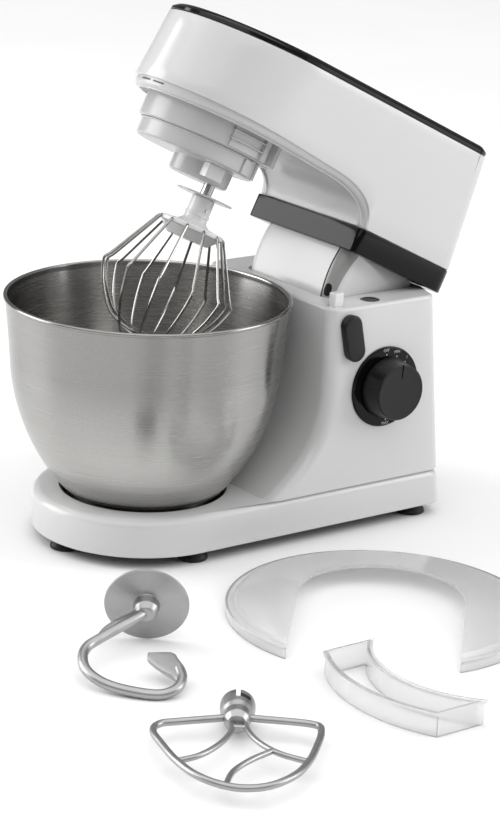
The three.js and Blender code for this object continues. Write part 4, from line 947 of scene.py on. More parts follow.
@dataclass(frozen=True)
class Tabletop:
    """The table's matt, nearly white paint.

    Args:
        tones: its greys, darker and lighter.
        roughness: of the paint.
        gloss: how strongly it mirrors.
    """

    tones: Pair = (0.90, 0.92)
    roughness: float = 0.6
    gloss: float = 0.2

    def material(self) -> Material:
        """The finish as a node material: broad patches of the two greys.

        Returns:
            The material.
        """
        n = Nodes("table")
        low, high = (grey(tone) for tone in self.tones)
        n.feed(Base_Color=n.blend(n.span(n.noise(n.coords(), 3, 2), 0, 1), low, high))
        n.set(Roughness=self.roughness, Specular_IOR_Level=self.gloss)
        return n.material


class Look:
    """A finish as made, with the record's slot that it fills."""

    def __init__(self, finish: Plastic | Brushed | Metal | Clear, slot: str = "") -> None:
        """Makes the material. The slot is the finish's own name unless another is given."""
        self.material = finish.material()
        self.slot = slot or finish.name

    def paint(self, piece: Piece) -> None:
        """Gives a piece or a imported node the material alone."""
        piece.data.materials.clear()
        piece.data.materials.append(self.material)


class Finishes:
    """Every finish on the mixer, made once."""

    def __init__(self, frame: Frame) -> None:
        """Makes the materials.

        Args:
            frame: gives the bowl's axis, which its brushing runs round.
        """
        jet, coal = (0.0025, 0.0025, 0.0028), (0.007, 0.007, 0.0072)
        self.shell = Look(Plastic("white_shell", grey(0.62), 0.17, 0.004, 500))
        self.satin = Look(Plastic("white_satin", grey(0.47), 0.24, 0.006, 900))
        self.cover = Look(Plastic("underside_white", grey(0.54), 0.22, 0.006, 900), "white_satin")
        # A lighter copy of the white plastic. It paints light onto the skirt, which lies in the head's shade, a
        # highlight along the bead and light on the whisk hub's top; the latch block and the boss's pad wear it too.
        self.bright = Look(Plastic("lit_white_copy", grey(0.7), 0.2, 0.004, 700), "white_satin")
        self.strip = Look(Plastic("guide_strip", (0.34, 0.34, 0.335), 0.2, 0.006, 700), "white_satin")
        self.gloss_black = Look(Plastic("gloss_black", jet, 0.1, 0.003, 400, 0.18))
        self.lid = Look(Plastic("lid_black", jet, 0.1, 0.002, 400, 0.32), "gloss_black")
        # Painted shade for the slots in the head's lip.
        self.shadow = Look(Plastic("slot_painted_shade", grey(0.09), 0.4, 0.01, 900, 0.3), "black_plastic")
        self.black = Look(Plastic("black_plastic", coal, 0.32, 0.02, 1400, 0.3))
        self.rubber = Look(Plastic("foot_rubber", (0.008, 0.008, 0.0085), 0.5, 0.03, 1600, 0.3))
        self.nylon = Look(Plastic("nylon", (0.6, 0.57, 0.5), 0.45, 0.01, 900))
        self.print_white = Look(Plastic("scale_print", grey(0.5), 0.5, 0.0), "white_satin")
        self.bowl = Look(Brushed("brushed_bowl", frame.bowl_axis))
        self.wire = Look(Metal("whisk_wire", (0.34, 0.335, 0.325), 0.18, 0.004, 2500))
        self.steel = Look(Metal("steel", grey(0.5), 0.25, 0.004, 2500))
        self.aluminium = Look(Metal("satin_aluminium", grey(0.4), 0.36, 0.03, 1500))
        self.cast = Look(Metal("cast_frame", (0.38, 0.38, 0.39), 0.5, 0.05, 900))
        self.iron = Look(Metal("motor_iron", (0.2, 0.16, 0.13), 0.5, 0.05, 900))
        self.clear = Look(Clear("clear_plastic"))


@dataclass
class SubAssembly:
    """What every sub-assembly has: where it goes, its finishes, and how its pieces are made.

    Args:
        frame: where shapes go.
        finishes: the finishes.
    """

    frame: Frame
    finishes: Finishes
    stance: ClassVar[Stance] = Stance.TABLE

    def joined(self, name: str, patch: Patchwork) -> Piece:
        """A piece of the grids gathered in a patchwork."""
        return patch.build(name, self.stance, self.frame)

    def mesh(self, name: str, grid: Array, wrap_u: bool = False, flip: bool = False) -> Piece:
        """A piece of one grid that wraps in its columns.

        Args:
            name: the piece's name.
            grid: an (n, m, 3) array.
            wrap_u: joins the last row to the first too.
            flip: turns the faces round.

        Returns:
            The piece.
        """
        return self.joined(name, Patchwork().grid(grid, wrap_u, flip=flip))

    def lathe(
        self, name: str, corners: Sequence[Triple], centre: Sequence[float] = (0, 0), segments: int = 96
    ) -> Piece:
        """A rounded profile turned about an upright axis.

        Args:
            name: the piece's name.
            corners: radius, height and rounding of each corner, upwards on the outside.
            centre: the axis, x and y.
            segments: columns round the axis.

        Returns:
            The piece.
        """
        return self.mesh(name, turned(rounded(corners), segments, centre), flip=True)

    def dress(self, piece: Piece, look: Look, body: Body, *nodes: str) -> None:
        """Gives a piece its material and body, and hides the nodes it stands for.

        Args:
            piece: the piece.
            look: its finish.
            body: the body it rides on.
            nodes: nodes it stands for.
        """
        look.paint(piece)
        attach(piece, body.value)
        if nodes:
            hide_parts(*nodes)
        log.info("%s on %s", piece.name, body.value)


# ---- base


@dataclass
class Base(SubAssembly):
    """The white base with its column, and what stands on it."""

    half: float = 86.8
    underside: float = 9.7
    deck: float = 40.0
    shelf: float = 189.5
    nose_x: float = -2.0
    rear_top: float = 217.0
    rear_bottom: float = 236.0
    bulge: float = 20.0
    flare: float = 53.5
    flare_height: float = 90.0
    flare_power: float = 2.65
    column_front: float = 115.5
    plug_spot: Pair = (163, -72.6)
    inlet_z: float = 30.0

    def rear(self, z: float) -> float:
        """The rear corners' x at a height: straight from the bottom to the top."""
        share = (self.shelf - z) / (self.shelf - self.underside)
        return self.rear_top + (self.rear_bottom - self.rear_top) * share

    def foot(self, z: float) -> Plan:
        """The base's outline at a height."""
        front = self.nose_x - self.half
        return Plan(front, self.rear(z), self.half, self.half, self.half, bulge=self.bulge)

    def column(self, z: float) -> Plan:
        """The column's outline at a height: its front is column_front - flare (1 - share)^flare_power.

        Args:
            z: the height.

        Returns:
            The outline.
        """
        share = min(1.0, max(0.0, (z - self.deck) / self.flare_height))
        front = self.column_front - self.flare * (1 - share) ** self.flare_power
        return Plan(front, self.rear(z), self.half, 12, 12, bulge=self.bulge)

    def shell(self) -> Piece:
        """The base and column as one surface: up the base's side, in over the deck and up the column.

        Returns:
            The piece, cut for what goes into it.
        """
        lip, sole_edge, deck_edge, shelf_edge, step = 3.2, 1.2, 7.0, 2.6, 0.02
        crowding = 1.8  # the rings crowd towards the deck, where the column flares most
        low = [(lip, self.underside + 2.9), (lip, self.underside + 1.0), (lip - 1, self.underside)]
        low += fillet(sole_edge, self.underside, 3, top=False) + fillet(deck_edge, self.deck, 8)
        rise = self.deck + step + self.flare_height * np.linspace(0, 1, 26) ** crowding
        high = [(0.0, z) for z in rise] + fillet(shelf_edge, self.shelf, 5)
        rings = [self.foot(z).points(inset) for inset, z in low] + [self.column(z).points(inset) for inset, z in high]
        piece = self.mesh("base_shell", capped(rings, [z for _, z in low + high]), flip=True)
        carve(piece, [self.recess(), self.skirt_slot(), self.latch_slot(), self.plug_hole(), self.heel_room()])
        return piece

    def block(self, name: str, x: Pair, y: Pair, z: Pair, corner: float) -> Piece:
        """A cutter with round upright corners.

        Args:
            name: the cutter's name.
            x: its ends along X.
            y: its ends along Y.
            z: its bottom and top.
            corner: the upright corners' radius.

        Returns:
            The cutter.
        """
        ring = Plan(x[0], x[1], (y[1] - y[0]) / 2, corner, corner, corner).points() + (0, (y[0] + y[1]) / 2)
        return self.mesh(name, capped([ring, ring], z), flip=True)

    def recess(self) -> Piece:
        """The cutter for the round recess that the bowl's seat lies in."""
        return self.mesh("cut_recess", turned(np.array([(0, 28.0), (67.0, 28.0), (67.0, 45.0), (0, 45.0)])))

    def skirt_slot(self) -> Piece:
        """The cutter for the opening in the shelf that the skirt goes down into."""
        return self.block("cut_slot", (132.7, 224.3), (-58.1, 58.1), (126.0, 200.0), 12)

    def plug_hole(self) -> Piece:
        """The cutter for the shallow round hole in the shelf that the plug lies in."""
        profile = np.array([(0, 187.9), (8.0, 187.9), (8.0, 193.0), (0, 193.0)])
        return self.mesh("cut_plug", turned(profile, 48, self.plug_spot))

    def latch_slot(self) -> Piece:
        """The cutter for the hole in the shelf that the latch block stands in, with room below for its slide."""
        return self.block("cut_latch", (121.7, 131.6), (-80.2, -71.6), (165.0, 200.0), 1.2)

    def heel_room(self) -> Piece:
        """The cutter for the raised head's heel: all above a plane that leans with the head.

        Returns:
            The cutter.
        """
        across, along, low, high = 120.0, 60.0, 17.4, 77.4
        level = np.array([(-along, -across), (along, -across), (along, across), (-along, across)])
        corners = np.stack([np.column_stack([level, np.full(4, z)]) for z in (low, high)])
        grid = ended(corners) + (self.frame.hinge[0], 0, self.frame.hinge[1])
        return Patchwork().grid(grid).build("cut_heel", Stance.HEAD, self.frame)

    def feet(self) -> None:
        """Five rubber feet, each flared at the floor and waisted under the plate."""
        inset, radius, waist = 17.0, 12.4, 10.5
        side, back, front = self.half - inset, self.rear_bottom - inset + 1, 1
        places = {
            "nose": (self.nose_x - self.half + inset, 0),
            "front_right": (front, -side),
            "front_left": (front, side),
            "rear_right": (back, -side),
            "rear_left": (back, side),
        }
        corners = [
            (0, 1.6, 0), (radius - 3.5, 1.2, 1), (radius - 1.6, 0, 1), (radius, 0.6, 0.8), (radius - 0.5, 3, 1.6),
            (waist, 5.4, 2), (waist, self.underside - 0.3, 0), (waist, 12, 0), (0, 12, 0),
        ]
        for name, place in places.items():
            foot = self.lathe(f"rubber_{name}", corners, place, 48)
            self.dress(foot, self.finishes.rubber, Body.BASE, f"foot_{name}")

    def seat(self) -> Piece:
        """The black ring let into the deck, with a bevelled lip round the bowl's foot.

        Returns:
            The piece.
        """
        inside, outside, low, top = 64.2, 66.7, 28.4, 39.2
        corners = [(inside, low, 0), (outside, low, 0), (outside, top, 0.7), (64.6, top, 0.6), (inside, 36, 0)]
        return self.lathe("seat_ring", corners + corners[:1], segments=144)

    def plug(self) -> Piece:
        """The dark plug in the shelf, with a round edge and a dished top.

        Returns:
            The piece.
        """
        low, high, radius = self.shelf - 1.2, self.shelf - 0.15, 7.7
        corners = [(0, low, 0), (radius, low, 0.2), (radius, high, 0.5), (6.4, high, 0.4)]
        corners += [(5.6, self.shelf - 0.55, 0.4), (0, self.shelf - 0.6, 0)]
        return self.lathe("shelf_disc", corners, self.plug_spot, 48)

    def inlet(self) -> Piece:
        """The cord's collar in the rear wall, empty. It is turned about an upright axis and then laid along the
        wall's normal: x = wall + out cos a - x sin a and z = height + x cos a + out sin a.

        Returns:
            The piece.
        """
        corners = [
            (3.4, -5, 0), (6, -5, 0), (6, 0.6, 0), (8, 0.6, 0.5), (7.4, 2.4, 0.8), (4.4, 2.8, 0.6), (3.4, 1.4, 0.5),
            (3.4, -5, 0),
        ]
        x, y, out = np.moveaxis(turned(rounded(corners), 48), -1, 0)
        lean = math.atan2(self.rear_bottom - self.rear_top, self.shelf - self.underside)
        cos, sin, z = math.cos(lean), math.sin(lean), self.inlet_z
        wall = self.rear(z) + self.bulge
        return self.mesh("cord_collar", np.stack([wall + out * cos - x * sin, y, z + x * cos + out * sin], axis=-1))

    def latch(self) -> Piece:
        """The latch block at the shelf's corner, with round edges."""
        return self.mesh("latch_form", slab((122.0, 131.2), 3.9, (172.2, 200.4), 1.2, 0.9) + (0, -75.9, 0), flip=True)

    def build(self) -> None:
        """Makes the base's pieces."""
        f = self.finishes
        self.dress(self.shell(), f.shell, Body.BASE, "base_housing")
        self.feet()
        self.dress(self.seat(), f.black, Body.BASE, "bowl_seat")
        self.dress(self.plug(), f.black, Body.BASE, "shelf_plug")
        self.dress(self.inlet(), f.rubber, Body.BASE, "cord_inlet")
        self.dress(self.latch(), f.bright, Body.LATCH, "latch_block")


# ---- bowl


@dataclass
class Bowl(SubAssembly):
    """The steel bowl with its rolled rim."""

    rim_radius: float = 111.5
    rim_z: float = 192.8
    bead: float = 1.7
    wall: float = 1.2
    foot_radius: float = 64.5
    foot_z: float = 41.2
    side_radius: float = 106.8
    side_z: float = 140.0
    crease_z: float = 57.0
    crease_depth: float = 0.3

    def side(self, offset: float) -> Array:
        """The bowl's side as radius and height: a cubic Bezier for the round lower half and
        a quadratic one for the flare up to the rim. Below the crease it steps in a little.

        Args:
            offset: how far inside the outer face.

        Returns:
            An (n, 2) array, upwards.
        """
        t = np.linspace(0, 1, 45)[:, None]
        p = np.array([
            (self.foot_radius - offset, self.foot_z + offset),
            (self.foot_radius + 19.5 - offset, self.foot_z + 21.5 + offset),
            (self.side_radius - 2.8 - offset, self.side_z - 42),
            (self.side_radius - offset, self.side_z),
        ])
        lower = (1 - t) ** 3 * p[0] + 3 * (1 - t) ** 2 * t * p[1] + 3 * (1 - t) * t**2 * p[2] + t**3 * p[3]
        flare = (self.side_radius + 1.8 - offset, self.side_z + 28)
        q = np.array([p[3], flare, (self.rim_radius - offset, self.rim_z)])
        upper = (1 - t) ** 2 * q[0] + 2 * (1 - t) * t * q[1] + t**2 * q[2]
        side = np.vstack([lower, upper[1:]])
        return side - np.column_stack([self.crease_depth * (side[:, 1] < self.crease_z), np.zeros(len(side))])

    def mark_outside(self, mesh: Mesh) -> None:
        """Writes the attribute "outside": 1 where the radius is past the middle of the wall, else 0.

        Args:
            mesh: the bowl's mesh.
        """
        # The outside marked here is where the brushed finish paints its reflection.
        x, y, z = ((mesh_points(mesh) - (*self.frame.bowl_axis, 0)) / MM).T
        side = self.side(self.wall / 2)
        outside = np.hypot(x, y) > np.interp(z, side[:, 1], side[:, 0])
        mesh.attributes.new("outside", "FLOAT", "POINT").data.foreach_set("value", outside.astype(np.float32))

    def shell(self) -> Piece:
        """The bowl as one profile: the outside, the bead round the rim, the inside and the floor.

        Returns:
            The piece, with its outside marked.
        """
        turn = np.radians(np.linspace(-80, 180, 13))
        bead_x = self.rim_radius + self.bead * np.cos(turn) - 0.3
        bead = np.column_stack([bead_x, self.rim_z + self.bead * (1 + np.sin(turn)) - 0.2])
        outside = np.array([(0, self.foot_z), (self.foot_radius - 3, self.foot_z)])
        floor = np.array([(30, self.foot_z + self.wall), (0, self.foot_z + self.wall)])
        profile = np.vstack([outside, self.side(0), bead, self.side(self.wall)[::-1][1:], floor])
        piece = self.mesh("bowl_shell", turned(profile, 160), flip=True)
        self.mark_outside(piece.data)
        return piece

    def build(self) -> None:
        """Makes the bowl, the ring it stands on and the ring's three lugs."""
        steel = self.finishes.bowl
        self.dress(self.shell(), steel, Body.BOWL, "bowl")
        inside, outside, low, high = 56.7, 59.5, 31.6, 40.9
        corners = [(inside, low, 0), (outside, low, 0.4), (outside, high, 0), (inside, high, 0), (inside, low, 0)]
        self.dress(self.lathe("bowl_base_ring", corners, segments=144), steel, Body.BOWL, "bowl_foot")
        lugs, reach = Patchwork(), 17
        for turn in (0, 120, 240):
            lugs.grid(segment((58.8, 63.5), (31.7, 34.0), (turn - reach, turn + reach)))
        self.dress(self.joined("bowl_lugs", lugs), steel, Body.BOWL)


# ---- head

LOWER_EDGE = (
    (-90, 248.3), (-71.7, 247.9), (-29.7, 247.0), (14, 245.0), (59.5, 242.3), (82.8, 240.8), (94.7, 239.4),
    (105.4, 236.9), (114.3, 233.5), (121.4, 229.0), (127, 222.9), (129.6, 217.0), (131.4, 210.0),
)
SIDE_STATIONS = (
    212, 200, 180, 160, 142, 133.5, 131.6, 130.6, 129.6, 128.3, 126.5, 124.3, 121.4, 118, 114.3, 110,
    105.4, 100, 94.7, 88, 80, 70, 58, 44, 32,
)


@dataclass
class HeadForm:
    """The head's plan at any height, and its lower and upper lines along X."""

    half: float = 70.7
    tip: float = -69.0
    chin: float = 248.0
    nose: float = 89.0
    lean: float = 0.115
    rear: float = 232.8
    rear_z: float = 209.7
    rear_lean: float = 0.122
    corner: float = 14.0
    bulge: float = 10.0
    bottom: float = 210.0
    top: float = 306.0
    drop: float = 1.5

    def plan(self, z: float) -> Plan:
        """The outline at a height: its front and rear lean with it.

        Args:
            z: the height.

        Returns:
            The outline.
        """
        front = self.tip + self.lean * (z - self.chin)
        rear = self.rear - self.rear_lean * (z - self.rear_z)
        return Plan(front, rear, self.half, self.nose, self.half, self.corner, self.bulge, SIDE_STATIONS)

    def ring(self, inset: float, z: Array | float) -> Array:
        """The outline's points with each at its own height. X is linear in the height.

        Args:
            inset: how far inside the outline.
            z: a height, or one for each point.

        Returns:
            An (n, 3) array.
        """
        z0, z1 = 200.0, 300.0
        low, high = self.plan(z0).points(inset), self.plan(z1).points(inset)
        z = np.broadcast_to(np.asarray(z, dtype=float), len(low))
        x = low[:, 0] + (high[:, 0] - low[:, 0]) * (z - z0) / (z1 - z0)
        return np.column_stack([x, low[:, 1], z])

    def lower(self, x: Array) -> Array:
        """The lower edge's height along X, level with the band behind the cheek."""
        curve = smooth_path(LOWER_EDGE, 8)
        return np.where(x > curve[-1, 0], self.bottom, np.interp(x, curve[:, 0], curve[:, 1]))

    def upper(self, x: Array) -> Array:
        """The top line's height along X. It is a quadratic Bezier: x and z are (1 - t)^2 a + 2 t (1 - t) b + t^2 c.

        Args:
            x: places along X.

        Returns:
            The height at each.
        """
        t = np.linspace(0, 1, 30)
        px = (1 - t) ** 2 * (self.rear + 30) + 2 * t * (1 - t) * -8.8 + t**2 * -88
        pz = (1 - t) ** 2 * self.top + 2 * t * (1 - t) * (self.top - 1) + t**2 * (self.top - self.drop - 1)
        return np.interp(x, px[::-1], pz[::-1])

    def along(self, inset: float, height: Height) -> Array:
        """The outline raised to a line along X, by repeating z = height(x(z)) until it settles.

        Args:
            inset: how far inside the outline.
            height: the line's height along X.

        Returns:
            An (n, 3) array.
        """
        start, repeats = 250.0, 6
        points = self.ring(inset, start)
        for _ in range(repeats):
            points = self.ring(inset, height(points[:, 0]))
        return points

    def folded(self, inset: float, height: Height) -> Array:
        """The outline pressed onto the middle plane, which closes a top or a floor."""
        return self.along(inset, height) * (1, 0, 1)


@dataclass
class Head(SubAssembly):
    """The white shell, its black band and cover, and the cover under it."""

    stance: ClassVar[Stance] = Stance.HEAD
    form: HeadForm = field(default_factory=HeadForm)
    wall: float = 3.0
    gap: float = 0.25
    cover: float = 6.3
    lip_nose: float = 7.8
    lip_cheek: float = 5.0
    cheek: float = 90.0

    def between(self, share: float, lift: float) -> Height:
        """A line on the shell: low + lift + (high - low - 2 lift) share, with high a gap below the top line."""
        form = self.form
        return lambda x: form.lower(x) + lift + (form.upper(x) - self.gap - form.lower(x) - 2 * lift) * share

    def above(self, rise: float) -> Height:
        """A line at a height above the top line."""
        return lambda x: self.form.upper(x) + rise

    def lip(self, x: Array) -> Array:
        """How far the cover hangs below the shell's edge, falling evenly from the nose to the cheek."""
        share = np.clip((x - self.form.tip) / (self.cheek - self.form.tip), 0, 1)
        return self.lip_nose - (self.lip_nose - self.lip_cheek) * share

    def below(self, share: float, up: float) -> Height:
        """A line on the lip: low - lip share + up, but no lower than just under the shell's rear edge."""
        form, spare = self.form, 0.1
        return lambda x: np.maximum(form.lower(x) - self.lip(x) * share + up, form.bottom - spare)

    def shell(self) -> Piece:
        """The shell's inside, lower lip, outside and upper lip in one closed grid.

        Returns:
            The piece.
        """
        form, edge = self.form, 1.1
        low = [(self.wall, 0.0), (0.9, 0.0), (0.25, 0.4), (0.0, edge)]
        high = [(0.2, 0.4), (0.7, 0.0), (self.wall, 0.0)]
        rows = [form.along(inset, self.between(0, lift)) for inset, lift in low]
        rows += [form.along(0, self.between(share, edge)) for share in np.linspace(0, 1, 7)[1:]]
        rows += [form.along(inset, self.between(1, lift)) for inset, lift in high]
        return self.mesh("head_shell", np.stack(rows), wrap_u=True)

    def cover_top(self) -> Piece:
        """The black cover: an upright edge, a chamfer and a level top.

        Returns:
            The piece.
        """
        form, foot = self.form, 0.3
        steps = [(0.5, foot), (0.15, 0.7), (0.15, 2.9), (0.5, 3.4), (3.3, 5.7), (4.4, 6.2)]
        steps += [(inset, self.cover) for inset in (7, 14, 22, 30, 38, 46, 54, 62)]
        rows = [form.along(inset, self.above(rise)) for inset, rise in steps]
        rows = [form.folded(12, self.above(foot)), *rows, form.folded(62, self.above(self.cover))]
        return self.mesh("head_cover", np.stack(rows))

    def band(self) -> Piece:
        """The black band between the shell and the shelf.

        Returns:
            The piece.
        """
        form, front = self.form, 127
        plan = Plan(front, form.rear, form.half, 5, 5, form.corner, form.bulge)
        return self.mesh("head_band_shell", edged(plan, 0.9, (190.0, form.rear_z)))

    def underside(self) -> Piece:
        """The cover under the head: a side wall, a wide round lip and a sunk floor.

        Returns:
            The piece.
        """
        form, top = self.form, self.below(0, 6.0)
        steps = (
            (2.3, 0, 5.0), (2.3, 0.35, 0), (2.6, 0.55, 0), (3.4, 0.74, 0), (4.5, 0.88, 0), (5.8, 0.95, 0),
            (6.9, 0.95, 0), (9.0, 0.95, 0.3), (9.6, 0.95, 1.4), (14, 1, 2.4), (30, 1, 2.4), (50, 1, 2.4),
        )
        rows = [form.along(inset, self.below(share, up)) for inset, share, up in steps]
        inset, share, up = steps[-1]
        rows = [form.folded(4, top), form.along(4, top), *rows, form.folded(inset, self.below(share, up))]
        return self.mesh("head_underside", np.stack(rows))

    def bead(self) -> Piece:
        """The narrow bead along the lip's inner edge: a round section carried round the outline.

        Returns:
            The piece.
        """
        inset, share, drop, radius = 7.6, 0.95, 0.15, 0.75
        turns = np.linspace(0, FULL_TURN, 10, endpoint=False)
        lines = [self.below(share, -drop + radius * math.sin(t)) for t in turns]
        rows = [self.form.along(inset + radius * math.cos(t), line) for t, line in zip(turns, lines)]
        return self.mesh("underside_bead", np.stack(rows), wrap_u=True)

    def slots(self) -> Piece:
        """The two short slots in the lip by the nose, as thin dark plates let into its surface: painted shade where
        the slots' openings would be.
        Each edge runs where a = atan2(y, centre - x) goes evenly from one end to the other.

        Returns:
            The piece.
        """
        centre, share = 20, 0.3
        patch = Patchwork()
        for start, end in ((-0.5, 7.5), (-10.5, -3)):
            want = np.radians(np.linspace(start, end, 9))
            rows = []
            for inset, up in ((2.1, -0.6), (3.6, -0.6), (3.6, 0.6), (2.1, 0.6)):
                ring = self.form.along(inset, self.below(share, up))
                angle = np.arctan2(ring[:, 1], centre - ring[:, 0])
                order = np.argsort(angle)
                rows.append(np.column_stack([np.interp(want, angle[order], column) for column in ring[order].T]))
            patch.grid(ended(np.stack(rows, axis=1)))
        return self.joined("lip_slots", patch)

    def build(self) -> None:
        """Makes the head's pieces."""
        f = self.finishes
        self.dress(self.shell(), f.shell, Body.HEAD, "head_housing")
        self.dress(self.cover_top(), f.lid, Body.HEAD, "head_top_cover")
        self.dress(self.band(), f.gloss_black, Body.HEAD, "head_band")
        self.dress(self.underside(), f.cover, Body.HEAD, "underside_cover")
        # The bead wears the lighter white copy: a painted highlight along the lip's inner edge.
        self.dress(self.bead(), f.bright, Body.HEAD)
        self.dress(self.slots(), f.shadow, Body.HEAD)


@dataclass
class Skirt(SubAssembly):
    """The round skirt under the head's heel, which slides down into the shelf as the head closes."""

    stance: ClassVar[Stance] = Stance.HEAD
    radius: float = 87.6
    half: float = 57.0
    corner: float = 12.0
    low: float = -20.5
    high: float = 13.2
    wall: float = 2.5
    sections: int = 24

    def arc(self, radius: Array, y: Array, angle: Array) -> Array:
        """Points about the pin: x = pin - r cos a and z = pin + r sin a, with a in degrees below the head.

        Args:
            radius: distance from the pin.
            y: place along the pin.
            angle: in degrees.

        Returns:
            An (..., 3) array.
        """
        px, pz = self.frame.hinge
        turn = np.radians(angle)
        return np.stack(np.broadcast_arrays(px - radius * np.cos(turn), y, pz + radius * np.sin(turn)), axis=-1)

    def shell(self) -> Piece:
        """The skirt's front, round corners and sides, swept about the pin, with the sides filled up to
        the head's floor.

        Returns:
            The piece, with its wall as a modifier.
        """
        half, r, back = self.half, self.radius, 25
        profile = rounded([(back, -half, 0), (r, -half, self.corner), (r, half, self.corner), (back, half, 0)], 10)
        angle = np.linspace(self.low, self.high, self.sections)[:, None]
        radius = np.repeat(profile[None, :, 0], self.sections, axis=0)
        radius[:, [0, -1]] = np.linspace(25.5, 14, self.sections)[:, None]
        grid = self.arc(radius, profile[:, 1], angle)
        top = grid[-1:].copy()
        top[..., 2] = self.frame.hinge[1] + r * math.sin(math.radians(self.high))
        top[:, [0, -1], 0] = 210
        piece = self.joined("skirt_shell", Patchwork().grid(np.concatenate([grid, top]), wrap_v=False))
        solid = piece.modifiers.new("wall", "SOLIDIFY")
        solid.thickness = self.wall * MM
        solid.offset = -1
        return piece

    def corner_point(self, share: Array, angle: Array, out: float) -> Array:
        """Points on the near round corner: share 0 is its front end and share 1 its side end.

        Args:
            share: how far round the corner.
            angle: about the pin, in degrees.
            out: how far proud of the surface, in millimetres.

        Returns:
            An (..., 3) array.
        """
        turn = np.asarray(share) * math.pi / 2
        radius = self.radius - self.corner + (self.corner + out) * np.cos(turn)
        y = -(self.half - self.corner) - (self.corner + out) * np.sin(turn)
        return self.arc(radius, y, angle)

    def strip(self) -> Piece:
        """The grey guide strip on the near corner, which narrows downwards.

        Returns:
            The piece.
        """
        start, widest, taper, edge = 0.04, 0.93, 0.012, 0.03
        angle = np.linspace(self.low + 0.5, self.high - 0.3, self.sections)[:, None]
        end = widest - taper * (self.high - angle)
        outer = self.corner_point(start + (end - start) * np.linspace(0, 1, 13)[None], angle, 0.28)
        rim = self.corner_point(np.hstack([np.full_like(end, 0.02), end + edge]), angle, -0.4)
        grid = np.concatenate([rim[:, :1], outer, rim[:, 1:]], axis=1)
        ends = [np.repeat(row.mean(0)[None, None], grid.shape[1], axis=1) for row in (rim[0], rim[-1])]
        return self.mesh("skirt_strip", np.concatenate([ends[0], grid, ends[1]]))

    def seam(self) -> Piece:
        """The dark seam along the strip's front edge."""
        angle = np.linspace(self.low + 0.4, self.high - 0.2, self.sections)
        return self.mesh("skirt_seam", tube(self.corner_point(np.zeros(self.sections), angle, 0.0), 0.75, 10))

    def keyhole(self) -> Piece:
        """The black keeper window in the strip: a stadium laid on the round corner. Its height runs as
        0.35 clip(1.5 sin t) + 0.65 sin t and its width as cos t.

        Returns:
            The piece.
        """
        turn = np.linspace(0, FULL_TURN, 40, endpoint=False)
        tall = np.clip(np.sin(turn) * 1.5, -1, 1) * 0.35 + np.sin(turn) * 0.65
        share, wide, level, high = 0.27, 0.18, -11.0, 3.5
        steps = ((0.0, 0.45), (0.8, 0.45), (0.95, 0.4), (1.0, 0.1), (1.0, -0.6), (0.0, -0.6))
        wave = np.cos(turn)
        rows = [self.corner_point(share + wide * size * wave, level + high * size * tall, out) for size, out in steps]
        return self.mesh("skirt_window", np.stack(rows))

    def build(self) -> None:
        """Makes the skirt's pieces."""
        f = self.finishes
        # The skirt wears the lighter white copy: painted light on a piece that lies in the head's shade.
        self.dress(self.shell(), f.bright, Body.HEAD, "hinge_skirt")
        self.dress(self.strip(), f.strip, Body.HEAD)
        self.dress(self.seam(), f.black, Body.HEAD)
        self.dress(self.keyhole(), f.black, Body.HEAD)


# ---- planetary drive and whisk


def tool_axis(radius: float = 20.0, turn: float = -38.0) -> Pair:
    """The place at a radius and a turn in degrees round the bowl's axis; the tool's own unless others are given."""
    return radius * math.cos(math.radians(turn)), radius * math.sin(math.radians(turn))


@dataclass
class Planetary(SubAssembly):
    """The drum under the head with the blocks on its side, and the carrier that turns in it."""

    stance: ClassVar[Stance] = Stance.HEAD
    boss_radius: float = 9.1
    pad_turn: float = -87.0

    def drum(self) -> Piece:
        """The drum with its ribbed block on the -Y side, two posts rearwards of it and a keeper at the rear.

        Returns:
            The piece.
        """
        radius, low, high, inside = 52.4, 221.1, 243.8, 50
        wall = [(0, low, 0), (50.4, low, 0.5), (radius, 222.2, 0.9), (radius, high, 1), (0, high, 0)]
        patch = Patchwork().grid(turned(rounded(wall), 120), flip=True)
        patch.grid(slab((36, 58.6), 17.6, (222.4, 235.2), 2.4, 0.8), flip=True)
        blocks = (
            (56.6, (235.1, 236.4), (-105, -68), 0.5),
            (56.6, (228.3, 229.6), (-105, -68), 0.5),
            (54.2, (222.6, 240), (-104, -68), 0.4),
            (57.0, (222.2, 240.5), (-70, -62), 0.6),
            (61.0, (221.8, 240.5), (-57, -47), 0.5),
        )
        for outside, z, turn, edge in blocks:
            patch.grid(segment((inside, outside), z, turn, edge))
        return self.joined("drum", patch)

    def carrier(self) -> Piece:
        """The carrier: a bead round its top, a round lower edge and two flat keys on its side.

        Returns:
            The piece.
        """
        radius, low, high, inside = 48.7, 206.6, 220.8, 45
        side = [(0, low, 0), (44.6, low, 0), (radius, 207.2, 2.4), (radius, 219.6, 0.3)]
        bead = [(radius + 1, 219.9, 0.3), (radius + 1, high, 0.3), (0, high, 0)]
        patch = Patchwork().grid(turned(rounded(side + bead), 120), flip=True)
        for outside, turn in ((50.4, (-78, -66)), (49.6, (-54, -44))):
            patch.grid(segment((inside, outside), (207.6, 220.2), turn, 0.5))
        return self.joined("carrier_drum", patch)

    def boss(self) -> Piece:
        """The boss under the carrier that the tool's shaft comes out of."""
        corners = [(0, 192.2, 0), (24.2, 192.2, 2.2), (24.4, 205.6, 1.4), (26, 207.2, 0), (0, 207.2, 0)]
        return self.lathe("carrier_boss", corners, tool_axis(self.boss_radius))

    def pad(self) -> Piece:
        """The flat-faced pad that stands out of the boss's side, turned about the drum's axis."""
        grid = slab((22, 32.0), 8.6, (195.2, 206.4), 0.5, 0.3)
        return self.mesh("boss_pad", swung(grid, self.pad_turn), flip=True)

    def build(self) -> None:
        """Makes the drum and the carrier."""
        white = self.finishes.satin
        self.dress(self.drum(), white, Body.HEAD, "planetary_housing")
        self.dress(self.carrier(), white, Body.CARRIER, "planet_carrier")
        self.dress(self.boss(), white, Body.CARRIER)
        self.dress(self.pad(), self.finishes.bright, Body.CARRIER)


